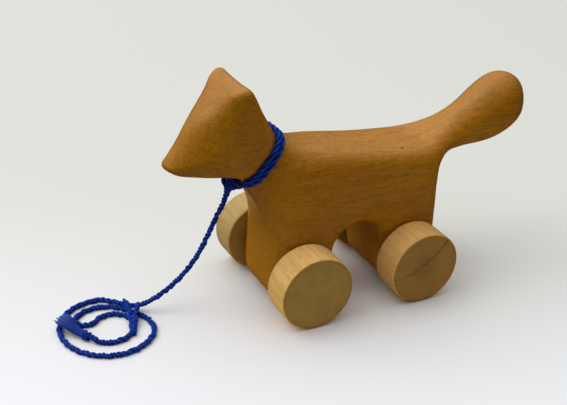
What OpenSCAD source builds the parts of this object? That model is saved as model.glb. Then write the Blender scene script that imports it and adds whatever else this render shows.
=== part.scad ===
// Pull-along animal: one carved beech body, two dowel axles, four turned wheels and a twisted cord.
// X points to the nose, Y to the animal's left, Z up. The origin is on the floor under the middle.

/* [Body] */
// Width over the flat sides of the torso
body_w = 45.8; // [42:0.2:52]
// Reach of the nose ahead of the front axle
nose_reach = 66.5; // [60:0.5:76]
// Reach of the tail behind the rear axle
tail_reach = 79.3; // [70:0.1:90]
// Height of the nose above the floor
nose_h = 85; // [80:0.5:90]
// Height of the ear tips above the floor
ear_h = 124.2; // [116:0.2:134]
// Height of the back at the middle of the wheelbase
back_h = 78.6; // [74:0.2:84]
// Height of the highest point of the tail
tail_h = 106; // [98:0.5:114]
// Height of the underside of the tail where it leaves the rump
tail_under_h = 67; // [64:0.5:70]

/* [Head and neck] */
// Width of the head across the ears
head_w = 38; // [34:0.5:44]
// Width of the muzzle at the nose
nose_w = 17; // [13:0.5:21]
// How far the neck is drawn in on each side under the collar
neck_waist = 8.2; // [6:0.2:9]
// Dip between the two ears
ear_dip = 0.7; // [0:0.1:2]

/* [Legs] */
// Front face of the front leg ahead of the front axle
leg_front = 14.6; // [12:0.2:18]
// Rear face of the rear leg behind the rear axle
leg_rear = 19.2; // [15:0.2:22]
// Radius of the belly arch, half of its width
arch_r = 14.7; // [12:0.1:16]
// Height of the crown of the belly arch
arch_h = 41.5; // [38:0.1:48]
// Offset of the arch behind the middle of the wheelbase
arch_back = 3.3; // [0:0.1:5]
// Clearance under the feet
foot_clear = 5; // [3:0.5:8]
// Rounding of the outer corners of the feet
foot_r = 8; // [5:0.5:10]
// Rounding of the arch corners of the feet
heel_r = 7; // [4:0.5:9]

/* [Edges] */
// Round-over along the back, the legs and the arch
back_r = 9; // [6:0.5:10]
// Round-over of the chest and the front leg
chest_r = 13; // [9:0.5:14]
// Round-over of the forehead and the chin
head_r = 16; // [8:0.5:18]
// Round-over of the rump
rump_r = 5; // [3:0.25:7]
// Round-over of the neck under the collar
neck_r = 11; // [9:0.25:12]
// Round-over of the ears
ear_r = 3.5; // [2:0.25:5]
// Round-over of the tail, near half of its width
tail_r = 7.5; // [6:0.25:10]
// Width of the tail
tail_w = 26; // [23:0.5:32]

/* [Wheels and axles] */
// Distance between the two axles
wheelbase = 64.2; // [58:0.2:72]
// Diameter of the wheels
wheel_d = 40; // [34:0.5:44]
// Thickness of the wheels
wheel_t = 17.5; // [12:0.5:22]
// Rounding of the wheel rims
rim_r = 1.4; // [0.5:0.1:3]
// Gap between a wheel and the side of the body
wheel_gap = 0.8; // [0.4:0.1:2]
// Diameter of the dowel axles
axle_d = 8; // [6:0.5:10]
// Depth of the blind bore in each wheel
bore_depth = 12; // [8:0.5:15]
// Radial clearance of the axle in the body
axle_clear = 0.08; // [0.04:0.01:0.1]
// Radial glue gap of the axle in a wheel
glue_gap = 0.02; // [0.01:0.01:0.05]
// Gap left at the end of the axle in a blind bore
bore_end = 0.3; // [0.2:0.1:1]
// Chamfer on the axle ends
axle_chamfer = 0.8; // [0.4:0.1:1.5]

/* [Cord] */
// Diameter of the twisted cord
cord_d = 2.6; // [2:0.1:3]
// Gap between neighbouring turns and over what the cord crosses
cord_gap = 0.5; // [0.45:0.05:0.8]
// Gap between the cord and the wood that it is tied round
cord_seat = 0.25; // [0.2:0.05:0.5]
// Radius of the outer floor loop
loop_outer = 24.8; // [24:0.1:26]
// Radius at which the outer loop is laid back in
loop_middle = 18.5; // [18:0.1:19]
// Radius of the inner floor loop
loop_inner = 14; // [13.5:0.1:14.4]
// Radius of the turn from the outer to the inner loop
turn_r = 5.3; // [5.2:0.1:5.6]
// Diameter of the knots
knot_d = 5.6; // [5:0.1:7]
// Length of the frayed end
tassel_l = 15.5; // [14.5:0.5:17]

/* [Hidden] */
$fn = 64;

overall_l = nose_reach + wheelbase + tail_reach;
front_x = overall_l / 2 - nose_reach;
rear_x = front_x - wheelbase;
axle_h = wheel_d / 2;
side_y = body_w / 2;
wheel_in = side_y + wheel_gap;
wheel_out = wheel_in + wheel_t;
axle_l = 2 * (wheel_in + bore_depth - bore_end);

// Colours of the three materials
wood_colour = "#b5793f";
wheel_colour = "#d0a668";
cord_colour = "#1d3fa0";

// Small helpers on points [x, z] of the side outline
function ease(a, b, x) =
    let (t = min(1, max(0, (x - a) / (b - a))))
    t * t * (3 - 2 * t);
function between(a, b, f) = [a.x + (b.x - a.x) * f.x, a.y + (b.y - a.y) * f.y];
function arc(c, r, from, to, steps) =
    [for (i = [0:steps]) let (a = from + (to - from) * i / steps) c + r * [cos(a), sin(a)]];
function spline_at(a, b, c, d, t) =
    0.5 * (2 * b + (c - a) * t + (2 * a - 5 * b + 4 * c - d) * t * t + (3 * b - a - 3 * c + d) * t * t * t);
function spline(p, steps) =
    let (last = len(p) - 1)
    [for (i = [0:last - 1])
        let (a = i > 0 ? p[i - 1] : 2 * p[0] - p[1],
             d = i < last - 1 ? p[i + 2] : 2 * p[last] - p[last - 1])
        for (k = [0:i < last - 1 ? steps - 1 : steps])
            spline_at(a, p[i], p[i + 1], d, k / steps)];
function running_length(p) =
    [for (i = 0, d = 0; i < len(p); d = d + (i + 1 < len(p) ? norm(p[i + 1] - p[i]) : 0), i = i + 1) d];
function at_length(p, lengths, s) =
    [lookup(s, [for (i = [0:len(p) - 1]) [lengths[i], p[i].x]]),
     lookup(s, [for (i = [0:len(p) - 1]) [lengths[i], p[i].y]])];

// Marks of the side outline, as [x, z]
nose_x = front_x + nose_reach;
tail_x = rear_x - tail_reach;
nose_blunt = 1.2;
nose_up = [nose_x, nose_h];
nose_low = [nose_x, nose_h - nose_blunt];
ear = [front_x + 30.5, ear_h];
nape = [front_x + 8.3, back_h + 14.9];
croup = [rear_x - 12, back_h - 1.4];
tail_top = [tail_x + 13.5, tail_h];
tip_up = [tail_x, tail_h - 14.4];
tip_low = [tail_x, tail_h - 16];
throat = [front_x + 29, back_h - 6.2];
chest = [front_x + leg_front, axle_h + 4];
rump = [rear_x - leg_rear, axle_h + 10];
tail_root = [rear_x - leg_rear - 7.6, tail_under_h + 1.7];
arch_x = (front_x + rear_x) / 2 - arch_back;

// Upper outline, nose to tail tip
upper_marks = concat(
    [nose_up],
    [for (f = [[0.075, 0.082], [0.21, 0.254], [0.4, 0.463], [0.6, 0.663], [0.8, 0.864], [0.9, 0.964]])
        between(nose_up, ear, f)],
    [ear],
    [for (f = [[0.17, 0.085], [0.37, 0.44], [0.645, 0.745]]) between(ear, nape, f)],
    [nape, [front_x - 3, back_h + 5.9], [front_x - 18, back_h + 2.4], [rear_x + 24, back_h - 0.5],
     [rear_x + 4, back_h - 1.8], croup],
    [for (f = [[0.24, 0.115], [0.46, 0.345], [0.68, 0.675], [0.85, 0.9]]) between(croup, tail_top, f)],
    [tail_top],
    [for (f = [[0.58, 0.14], [0.91, 0.53]]) between(tail_top, tip_up, f)],
    [tip_up]);

// Lower outline, nose to tail tip, with the feet and the arch as arcs
chin_marks = concat(
    [nose_low],
    [for (f = [[0.06, 0.14], [0.2, 0.33], [0.52, 0.42], [0.79, 0.51]]) between(nose_low, throat, f)],
    [throat],
    [for (f = [[0.47, 0.19], [0.83, 0.4], [1.0, 0.58], [1.03, 0.79]]) between(throat, chest, f)],
    [chest]);
tail_marks = concat(
    [rump, rump + [0.4, 15], rump + [0.5, 25.5], rump + [-1.2, 33.2], tail_root],
    [for (f = [[0.22, 0.01], [0.47, 0.03], [0.68, 0.15], [0.86, 0.37], [0.965, 0.67]])
        between(tail_root, tip_low, f)],
    [tip_low]);
span_steps = 4;
toe_steps = 4;
heel_steps = 3;
arch_steps = 12;
toe_z = foot_clear + foot_r;
heel_z = foot_clear + heel_r;
lower_runs = [
    spline(chin_marks, span_steps),
    arc([chest.x - foot_r, toe_z], foot_r, 0, -90, toe_steps),
    arc([arch_x + arch_r + heel_r, heel_z], heel_r, -90, -180, heel_steps),
    arc([arch_x, arch_h - arch_r], arch_r, 0, 180, arch_steps),
    arc([arch_x - arch_r - heel_r, heel_z], heel_r, 0, -90, heel_steps),
    arc([rump.x + foot_r, toe_z], foot_r, -90, -180, toe_steps),
    spline(tail_marks, span_steps)];

// Ribs join the two outlines: [share of the upper outline, mark along the lower one].
// A lower mark is a run's number and a point's number in that run.
rib_marks = [
    [0, 0, 0], [0.055, 0, 2 * span_steps], [0.14, 0, 3 * span_steps], [0.19, 0, 4 * span_steps],
    [0.262, 0, 5 * span_steps], [0.3, 0, 6 * span_steps], [0.325, 0, 7 * span_steps],
    [0.34, 0, 10 * span_steps], [0.352, 1, toe_steps], [0.395, 2, 0], [0.405, 2, heel_steps],
    [0.425, 3, 0], [0.478, 3, arch_steps / 2], [0.53, 3, arch_steps],
    [0.55, 4, 0], [0.56, 4, heel_steps], [0.593, 5, 0], [0.605, 5, toe_steps],
    [0.615, 6, 0], [0.668, 6, 2 * span_steps], [0.715, 6, 4 * span_steps],
    [0.815, 6, 6 * span_steps], [0.895, 6, 8 * span_steps], [1, 6, 10 * span_steps]];
rib_spacing = 4;

// Neck: where the collar sits, and the direction from the shoulders to the head
throat_seat = between(throat, chest, [0.08, 0.03]);
neck_mid = (nape + throat_seat) / 2;
neck_down = (throat_seat - nape) / norm(throat_seat - nape);
neck_dir = [-neck_down.y, neck_down.x];
neck_half_h = norm(throat_seat - nape) / 2;
chin_r = 8;
neck_soft = 9;
shoulder_soft = 15;
neck_back = 2.5;
neck_square = 2.6;

// Half width of the body and radius of its round-over at a point of the side view
function half_width(p) =
    let (s = (p - neck_mid) * neck_dir,
         head = head_w / 2 - (head_w - nose_w) / 2 * ease(ear.x - 6, nose_x, p.x),
         trunk = side_y - (body_w - tail_w) / 2 * ease(rear_x - 6, rear_x - 44, p.x),
         off = s + neck_back,
         from_waist = off / (off < 0 ? shoulder_soft : neck_soft),
         waist = neck_waist * exp(-from_waist * from_waist))
    trunk + (head - trunk) * ease(-neck_soft, neck_soft, s) - waist;
function edge_radius(p) =
    let (s = (p - neck_mid) * neck_dir,
         low = ease(back_h - 8, back_h - 20, p.y) * ease(rear_x - 8, rear_x - 14, p.x),
         fore = ease(front_x - 4, chest.x - 2, p.x) * ease(back_h + 2, back_h - 14, p.y),
         trunk = back_r + (rump_r - back_r) * low + (chest_r - back_r) * fore,
         rear = trunk + (tail_r - trunk) * ease(rear_x - 22, rear_x - 42, p.x),
         cheek = head_r + (chin_r - head_r) * ease(nose_h + 2, nose_h - 8, p.y),
         head = cheek + (ear_r - cheek) * ease(ear_h - 30, ear_h - 2, p.y),
         mixed = rear + (head - rear) * ease(-neck_soft, neck_soft, s))
    mixed + (neck_r - mixed) * exp(-(s / neck_soft) * (s / neck_soft));
function crown(p) =
    let (at_ear = ease(9, 2, norm(p - ear)))
    0.7 * ease(ear_h - 30, back_h + 6, p.y) - ear_dip * at_ear;

// Distance of a point to a closed outline
function to_segment(p, a, b) =
    let (ab = b - a, n = ab * ab, t = n > 0 ? min(1, max(0, (p - a) * ab / n)) : 0)
    norm(p - a - t * ab);
function to_outline(p, loop) =
    min([for (i = [0:len(loop) - 1]) to_segment(p, loop[i], loop[(i + 1) % len(loop)])]);

// Places of the points along a rib: close together in the round-over, one in the middle
edge_shares = [0, 0.05, 0.18, 0.4, 0.68, 1];
function rib_places(upper, lower, along_up, along_low, r_up, r_low) =
    let (rib = lower - upper,
         l = norm(rib),
         lean_up = max(0.22, abs(cross(rib, along_up)) / max(1e-6, l * norm(along_up))),
         lean_low = max(0.22, abs(cross(rib, along_low)) / max(1e-6, l * norm(along_low))),
         a = min(0.46, r_up / lean_up / l),
         b = min(0.46, r_low / lean_low / l))
    concat([for (e = edge_shares) a * e], [(1 + a - b) / 2],
           [for (i = [len(edge_shares) - 1:-1:0]) 1 - b * edge_shares[i]]);

// Carved body: rings of points on the ribs, rounded towards the outline, skinned from nose to tail
module carving() {
    upper = spline(upper_marks, span_steps);
    lower = [for (run = lower_runs) each run];
    loop = concat(upper, [for (i = [len(lower) - 1:-1:0]) lower[i]]);
    upper_l = running_length(upper);
    lower_l = running_length(lower);
    run_start = [for (i = 0, n = 0; i < len(lower_runs); n = n + len(lower_runs[i]), i = i + 1) n];
    marks = len(rib_marks) - 1;
    up_at = [for (m = rib_marks) m[0] * upper_l[len(upper_l) - 1]];
    low_at = [for (m = rib_marks) lower_l[run_start[m[1]] + m[2]]];
    stations = concat([for (i = [0:marks - 1])
        let (reach = max(up_at[i + 1] - up_at[i], low_at[i + 1] - low_at[i]),
             steps = max(2, ceil(reach / rib_spacing)))
        for (k = [0:steps - 1]) i + k / steps], [marks]);
    up_table = [for (i = [0:marks]) [i, up_at[i]]];
    low_table = [for (i = [0:marks]) [i, low_at[i]]];
    tops = [for (s = stations) at_length(upper, upper_l, lookup(s, up_table))];
    bottoms = [for (s = stations) at_length(lower, lower_l, lookup(s, low_table))];
    last = len(stations) - 1;
    rings = [for (i = [0:last])
        let (t = tops[i], b = bottoms[i],
             j = max(0, i - 1), k = min(last, i + 1),
             places = rib_places(t, b, tops[k] - tops[j], bottoms[k] - bottoms[j],
                                 edge_radius(t), edge_radius(b)),
             side = [for (n = [0:len(places) - 1])
                 let (p = t + (b - t) * places[n],
                      w = half_width(p),
                      r = min(edge_radius(p), 0.9 * w),
                      d = n == 0 || n == len(places) - 1 ? 0 : min(1, to_outline(p, loop) / r))
                 [p.x, w - r + r * sqrt(1 - (1 - d) * (1 - d)), p.y]],
             flat = side[0].y)
        concat(side,
               [for (n = [len(side) - 1:-1:0]) [side[n].x, -side[n].y, side[n].z]],
               [for (f = [-0.5, 0, 0.5]) [t.x, f * flat, t.y + crown(t) * (1 - f * f)]])];
    n = len(rings[0]);
    points = [for (ring = rings) each ring];
    skin = [for (i = [0:last - 1], j = [0:n - 1])
        let (a = i * n + j, b = i * n + (j + 1) % n)
        each [[a, b + n, b], [a, a + n, b + n]]];
    ends = concat([for (j = [1:n - 2]) [0, j, j + 1]],
                  [for (j = [1:n - 2]) [last * n, last * n + j + 1, last * n + j]]);
    polyhedron(points, concat(skin, ends), convexity = 8);
}

module across(x, r, l) {
    translate([x, 0, axle_h]) rotate([90, 0, 0]) cylinder(r = r, h = l, center = true);
}

module body() {
    color(wood_colour) difference() {
        carving();
        for (x = [front_x, rear_x]) across(x, axle_d / 2 + axle_clear, body_w + 10);
    }
}

// Dowel with chamfered ends, lying across the body at x
module axle(x) {
    r = axle_d / 2;
    h = axle_l / 2;
    color(wheel_colour) translate([x, 0, axle_h]) rotate([90, 0, 0]) rotate_extrude()
        polygon([[0, -h], [r - axle_chamfer, -h], [r, -h + axle_chamfer],
                 [r, h - axle_chamfer], [r - axle_chamfer, h], [0, h]]);
}

// Turned wheel with rounded rims; the blind bore opens towards the body. side is 1 on the left.
module wheel(x, side) {
    r = wheel_d / 2;
    bore = axle_d / 2 + glue_gap;
    rim = concat(arc([r - rim_r, rim_r], rim_r, -90, 0, 5), arc([r - rim_r, wheel_t - rim_r], rim_r, 0, 90, 5));
    profile = concat([[bore, 0]], rim, [[0, wheel_t], [0, bore_depth], [bore, bore_depth]]);
    color(wheel_colour) translate([x, side * wheel_in, axle_h]) rotate([-90 * side, 0, 0])
        rotate_extrude() polygon(profile);
}

// Tube of a given number of sides along a list of points, with flat ends square to the path
function unit(v) = v / norm(v);
function path_dir(p, i) = unit(p[min(len(p) - 1, i + 1)] - p[max(0, i - 1)]);
function carried(ref, dir) = unit(ref - (ref * dir) * dir);
function frames(p, ref) =
    [for (i = 0, u = carried(ref, path_dir(p, 0)); i < len(p);
          i = i + 1, u = i < len(p) ? carried(u, path_dir(p, i)) : u) u];
module tube(p, radii, sides, ref) {
    u = frames(p, ref);
    last = len(p) - 1;
    points = [for (i = [0:last]) let (v = cross(path_dir(p, i), u[i]))
        for (k = [0:sides - 1]) let (a = 360 * k / sides)
            p[i] + radii[i] * (cos(a) * u[i] + sin(a) * v)];
    skin = [for (i = [0:last - 1], k = [0:sides - 1])
        let (a = i * sides + k, b = i * sides + (k + 1) % sides)
        each [[a, b + sides, b], [a, a + sides, b + sides]]];
    ends = concat([for (k = [1:sides - 2]) [0, k, k + 1]],
                  [for (k = [1:sides - 2]) [last * sides, last * sides + k + 1, last * sides + k]]);
    polyhedron(points, concat(skin, ends), convexity = 10);
}
function least_gap(p, skip, d) =
    min([for (i = [0:len(p) - 1 - skip]) for (j = [i + skip:len(p) - 1]) norm(p[i] - p[j])]) - d;

// Cord round the neck: two turns side by side, both ends lifted to the knot under the throat
cord_r = cord_d / 2;
collar_off = cord_seat + cord_r;
function collar_down(s) = neck_half_h + collar_off - 0.1 - 0.15 * s;
function collar_up(s) = neck_half_h + collar_off - 0.1;
function collar_side(s) = half_width(neck_mid + s * neck_dir) + collar_off;
collar_pitch = cord_d + cord_gap;
collar_rings = 60;
throat_r = 0.85 * cord_d;
knot_lift = cord_d + cord_gap + 1.5;
knot_slide = 0.2;
knot_half_l = 2.2;
knot_straight = 3.4;
knot_ease = 8;
throat_tuck = 2.2;
function sharpened(v) = sign(v) * pow(abs(v), 2 / neck_square);
function in_neck(down, side, along) =
    [neck_mid.x + down * neck_down.x + along * neck_dir.x, side,
     neck_mid.y + down * neck_down.y + along * neck_dir.y];
collar_start = asin(pow(knot_half_l / collar_side(0), neck_square / 2));
function collar_at(a) =
    let (turn = 720,
         tuck = throat_tuck * pow(max(0, cos(a)), 2) * ease(0, -0.5, sin(a)),
         s = collar_pitch * (2 * a / turn - 1) - tuck,
         to_end = min(a, turn - a),
         side = (to_end < 10 ? collar_side(0) : collar_side(s)) * sharpened(sin(a)),
         end = to_end < 90 ? ease(knot_ease, knot_straight + 0.4, abs(side)) : 0,
         down = (cos(a) > 0 ? collar_down(s * (1 - end)) : collar_up(s)) * sharpened(cos(a)))
    in_neck(down + knot_lift * sin(90 * end), side,
            s * cos(90 * end) - knot_slide * ease(knot_ease - 2, knot_straight, abs(side)) * end);
collar_path = [for (i = [0:collar_rings])
    collar_at(collar_start + (720 - 2 * collar_start) * i / collar_rings)];

// Knot under the throat: a barrel across, with a tail that the lead leaves
knot_mid = in_neck(collar_down(0) + knot_lift, 0, -knot_slide);
lead_lean = 18;
knot_tail = 5.6;
lead_exit = knot_mid + knot_tail * [sin(lead_lean), 0, -cos(lead_lean)];

// Route of the lead, from the front axle forward and up from the floor: hand-chosen points
lead_route = [[37.5, -0.2, 52], [41, -0.7, 43.8], [44.6, -1.3, 35.6], [48.8, -2.2, 27.6], [54, -3.4, 20.2],
              [60.4, -4.4, 13.8], [67.6, -5.4, 8.6], [74, -7.2, 5], [79.2, -10.8, 2.8], [82.8, -15.4, 1.8],
              [86.2, -19.8, 1.4], [90, -23.2, 1.3]];

// Loops on the floor: an outer loop laid back in, a turn and an inner loop the other way
loop_mid = [front_x + 96, 0];
loop_squash = 0.94;
loop_from = 268;
loop_to = 670;
loop_end = 32;
outer_rings = 34;
turn_rings = 8;
inner_rings = 26;
function polar(r, a) = [loop_mid.x + loop_squash * r * cos(a), loop_mid.y + r * sin(a), cord_r];
function outer_radius(a) = loop_outer + (loop_middle - 1 - loop_outer) * ease(505, 578, a) + ease(585, 665, a);
function inner_radius(a) = loop_middle - 2 * turn_r + (loop_inner - loop_middle + 2 * turn_r) * ease(312, 172, a);
turn_mid = polar(loop_middle - turn_r, loop_to);
knot_r = knot_d / 2;
knot_l = 5;
end_rise = 26;
function inner_height(a) = (knot_r - cord_r) * ease(loop_end + end_rise, loop_end + 8, a);
loops_path = concat(
    [for (i = [0:outer_rings]) let (a = loop_from + (loop_to - loop_from) * i / outer_rings)
        polar(outer_radius(a), a)],
    [for (i = [1:turn_rings - 1]) let (a = loop_to + 180 * i / turn_rings)
        turn_mid + turn_r * [cos(a), sin(a), 0]],
    [for (i = [0:inner_rings]) let (a = loop_to - 360 - (loop_to - 360 - loop_end) * i / inner_rings)
        polar(inner_radius(a), a) + [0, 0, inner_height(a)]]);

// Ends of the loops: where the lead joins them and where the end knot sits
loops_in = loops_path[0];
loops_in_dir = [-sin(loop_from), cos(loop_from), 0];
loops_out = loops_path[len(loops_path) - 1];
loops_out_dir = unit(loops_out - loops_path[len(loops_path) - 2]);
lead_dir = unit(lead_exit - knot_mid);
lead_marks = concat(
    [lead_exit, lead_exit + cord_d * lead_dir],
    [for (p = lead_route) p + [front_x, 0, 0]],
    [loops_in - cord_d * loops_in_dir, loops_in]);
lead_path = spline(lead_marks, 4);

echo("least gap of the collar to itself", least_gap(collar_path, 8, cord_d));
echo("least gap of the floor loops to themselves", least_gap(loops_path, 8, cord_d));

module neck_collar() {
    color(cord_colour) tube(collar_path, [for (p = collar_path) cord_r], 6, [0, 0, 1]);
}

module collar_knot() {
    h = knot_half_l;
    barrel = concat([[0, -h], [cord_r, -h]], arc([throat_r - 1, 0], 1, -60, 60, 4), [[cord_r, h], [0, h]]);
    color(cord_colour) union() {
        translate(knot_mid) rotate([90, 0, 0]) rotate_extrude() polygon(barrel);
        translate(knot_mid) rotate([0, 180 - lead_lean, 0]) cylinder(r1 = throat_r - 0.2, r2 = cord_r, h = knot_tail);
    }
}

module lead_cord() {
    color(cord_colour) tube(lead_path, [for (p = lead_path) cord_r], 8, [0, 1, 0]);
}

module cord_loops() {
    color(cord_colour) tube(loops_path, [for (p = loops_path) cord_r], 6, [0, 0, 1]);
}

// Knot before the frayed end, lying along the cord
module end_knot() {
    turn = atan2(loops_out_dir.y, loops_out_dir.x);
    profile = concat([[0, 0], [cord_r, 0]], arc([knot_r - 2, knot_l / 2], 2, -60, 60, 6), [[cord_r, knot_l], [0, knot_l]]);
    color(cord_colour) translate(loops_out) rotate([0, 90, turn]) rotate_extrude() polygon(profile);
}

// Frayed end: a bundle that bends as it leaves the knot, spreads and lies over the outer loop
out_flat = unit([loops_out_dir.x, loops_out_dir.y, 0]);
tassel_from = loops_out + knot_l * out_flat;
tassel_turn = tassel_from + 5 * out_flat;
tassel_tip = tassel_turn + [3, 6 - tassel_l, 0];
tassel_over = 3;
tassel_rings = 12;
tassel_spread = 1.9;
function tassel_at(t) =
    (1 - t) * (1 - t) * tassel_from + 2 * t * (1 - t) * tassel_turn + t * t * tassel_tip
    + [0, 0, tassel_over * ease(0.1, 0.75, t)];
module tassel() {
    path = [for (i = [0:tassel_rings]) tassel_at(i / tassel_rings)];
    radii = [for (i = [0:tassel_rings]) cord_r + (tassel_spread - 0.2) * ease(0, 0.9, i / tassel_rings)];
    color(cord_colour) tube(path, radii, 10, [0, 0, 1]);
}

body();
axle(front_x);  // front_axle
axle(rear_x);  // rear_axle
wheel(front_x, 1);  // front_left_wheel
wheel(front_x, -1);  // front_right_wheel
wheel(rear_x, 1);  // rear_left_wheel
wheel(rear_x, -1);  // rear_right_wheel
neck_collar();
collar_knot();
lead_cord();
cord_loops();
end_knot();
tassel();
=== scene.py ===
"""Wooden pull-along animal: a carved beech body on four turned wheels, led by a blue twisted cord.

Every piece is a numpy surface in metres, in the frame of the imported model: +X to the nose,
+Y to the animal's left, +Z up from the floor.
"""

import logging
import math
from dataclasses import dataclass, field, replace
from enum import Enum

import bpy
import numpy as np
from mathutils import Matrix

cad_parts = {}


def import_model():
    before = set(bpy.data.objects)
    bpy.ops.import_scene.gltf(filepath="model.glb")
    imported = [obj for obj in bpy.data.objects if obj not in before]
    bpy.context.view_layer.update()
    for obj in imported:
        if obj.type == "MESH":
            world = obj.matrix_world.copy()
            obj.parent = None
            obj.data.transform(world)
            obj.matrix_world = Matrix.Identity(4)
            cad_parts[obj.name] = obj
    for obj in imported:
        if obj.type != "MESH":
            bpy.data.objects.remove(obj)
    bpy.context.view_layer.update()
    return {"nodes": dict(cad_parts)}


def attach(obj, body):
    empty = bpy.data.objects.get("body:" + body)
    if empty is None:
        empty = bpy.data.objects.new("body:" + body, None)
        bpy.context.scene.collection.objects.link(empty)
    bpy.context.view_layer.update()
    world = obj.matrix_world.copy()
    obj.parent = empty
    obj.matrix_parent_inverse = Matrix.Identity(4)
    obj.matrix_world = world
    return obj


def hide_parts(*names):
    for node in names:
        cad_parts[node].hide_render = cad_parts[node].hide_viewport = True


LOG = logging.getLogger("pull_toy")
MM = 0.001
LEFT = np.array([0.0, 1.0, 0.0])
UP = np.array([0.0, 0.0, 1.0])
Colour = tuple[float, float, float]
Triple = tuple[float, float, float]
Pair = tuple[np.ndarray, np.ndarray]
Socket = bpy.types.NodeSocket


class Body(Enum):
    """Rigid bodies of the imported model."""

    TOY = "toy_body"
    FRONT = "front_wheelset"
    REAR = "rear_wheelset"


class Slot(Enum):
    """Material slots of the record."""

    BODY_WOOD = "body_wood"
    WHEEL_WOOD = "wheel_wood"
    CORD = "cord"


def srgb(red: int, green: int, blue: int) -> Colour:
    """Turn an 8-bit display colour into linear light.

    Args:
        red: Red, 0 to 255.
        green: Green, 0 to 255.
        blue: Blue, 0 to 255.

    Returns:
        The linear colour.
    """
    share = np.array([red, green, blue]) / 255.0
    linear = np.where(share <= 0.04045, share / 12.92, ((share + 0.055) / 1.055) ** 2.4)
    return tuple(float(value) for value in linear)


def ease(start: float, end: float, value: np.ndarray) -> np.ndarray:
    """Rise smoothly from 0 at start to 1 at end: t squared times (3 minus 2t)."""
    t = np.clip((np.asarray(value, float) - start) / (end - start), 0.0, 1.0)
    return t * t * (3.0 - 2.0 * t)


def blend(first: np.ndarray, second: np.ndarray, share: np.ndarray) -> np.ndarray:
    """Mix two values, all of the first at share 0 and all of the second at share 1."""
    return first + (second - first) * share


def arc(centre: tuple[float, float], radius: float, start: float, end: float, steps: int) -> np.ndarray:
    """Points of a circular arc, from start to end degrees.

    Args:
        centre: Centre of the arc.
        radius: Radius of the arc.
        start: First angle in degrees.
        end: Last angle in degrees.
        steps: Number of equal steps.

    Returns:
        Points as an array of steps + 1 rows.
    """
    angle = np.radians(np.linspace(start, end, steps + 1))
    return np.array(centre) + radius * np.column_stack([np.cos(angle), np.sin(angle)])


def spline(marks: np.ndarray, steps: int) -> np.ndarray:
    """Carry a Catmull-Rom curve through marks.

    Args:
        marks: Points that the curve passes.
        steps: Steps between two marks.

    Returns:
        Points of the curve, ends included.
    """
    marks = np.asarray(marks, float)
    before = np.vstack([2 * marks[0] - marks[1], marks[:-2]])
    after = np.vstack([marks[2:], 2 * marks[-1] - marks[-2]])
    t = (np.arange(steps) / steps)[None, :, None]
    a, b, c, d = (p[:, None, :] for p in (before, marks[:-1], marks[1:], after))
    curve = 0.5 * (2 * b + (c - a) * t + (2 * a - 5 * b + 4 * c - d) * t**2 + (3 * b - a - 3 * c + d) * t**3)
    return np.vstack([curve.reshape(-1, marks.shape[1]), marks[-1]])


def running_length(points: np.ndarray) -> np.ndarray:
    """Distance along a line of points, from its first point."""
    return np.concatenate([[0.0], np.cumsum(np.linalg.norm(np.diff(points, axis=0), axis=1))])


def evenly(points: np.ndarray, spacing: float) -> np.ndarray:
    """Lay points at an even spacing along a line.

    Args:
        points: Points of the line.
        spacing: Wanted distance between two points.

    Returns:
        New points on the same line, ends kept.
    """
    length = running_length(points)
    wanted = np.linspace(0.0, length[-1], max(2, int(round(length[-1] / spacing)) + 1))
    return np.column_stack([np.interp(wanted, length, column) for column in points.T])


def unit(vectors: np.ndarray) -> np.ndarray:
    """Scale each row to length 1."""
    return vectors / np.maximum(np.linalg.norm(vectors, axis=-1, keepdims=True), 1e-12)


def grid_quads(rows: int, columns: int, wrap: bool) -> np.ndarray:
    """Quads of a grid of points.

    Args:
        rows: Rows of points.
        columns: Points in a row.
        wrap: Join the last column to the first.

    Returns:
        Vertex numbers, four per quad.
    """
    row = np.arange(rows - 1)[:, None]
    column = np.arange(columns if wrap else columns - 1)[None, :]
    here = row * columns + column
    right = row * columns + (column + 1) % columns
    return np.stack([here, right, right + columns, here + columns], axis=-1).reshape(-1, 4)


def mesh_piece(
    name: str,
    points: np.ndarray,
    quads: np.ndarray,
    caps: list[np.ndarray],
    lay: np.ndarray | None = None,
) -> bpy.types.Object:
    """Put a surface into a smooth-shaded mesh object at the origin.

    Args:
        name: Name of the piece.
        points: Vertices in metres.
        quads: Vertex numbers, four per quad.
        caps: Rings of vertex numbers that close the ends.
        lay: Values (along, around) per vertex, kept as the UV map "lay".

    Returns:
        The linked object.
    """
    mesh = bpy.data.meshes.new(name)
    corners = np.concatenate([quads.ravel(), *caps]).astype(np.int32)
    totals = np.concatenate([np.full(len(quads), 4), [len(cap) for cap in caps]]).astype(np.int32)
    starts = np.concatenate([[0], np.cumsum(totals)[:-1]]).astype(np.int32)
    mesh.vertices.add(len(points))
    mesh.vertices.foreach_set("co", np.ascontiguousarray(points, np.float32).ravel())
    mesh.loops.add(len(corners))
    mesh.loops.foreach_set("vertex_index", corners)
    mesh.polygons.add(len(totals))
    mesh.polygons.foreach_set("loop_start", starts)
    mesh.polygons.foreach_set("loop_total", totals)
    mesh.polygons.foreach_set("use_smooth", np.ones(len(totals), bool))
    mesh.update(calc_edges=True)
    mesh.validate()
    if lay is not None:
        values = np.zeros(len(mesh.loops), np.int32)
        mesh.loops.foreach_get("vertex_index", values)
        layer = mesh.uv_layers.new(name="lay")
        layer.data.foreach_set("uv", np.ascontiguousarray(lay[values], np.float32).ravel())
    piece = bpy.data.objects.new(name, mesh)
    bpy.context.scene.collection.objects.link(piece)
    return piece


def apply_modifiers(piece: bpy.types.Object) -> None:
    """Replace a piece's mesh by what its modifiers make of it.

    Args:
        piece: The piece.
    """
    mesh = bpy.data.meshes.new_from_object(piece.evaluated_get(bpy.context.evaluated_depsgraph_get()))
    piece.modifiers.clear()
    piece.vertex_groups.clear()
    piece.data = mesh


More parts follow.
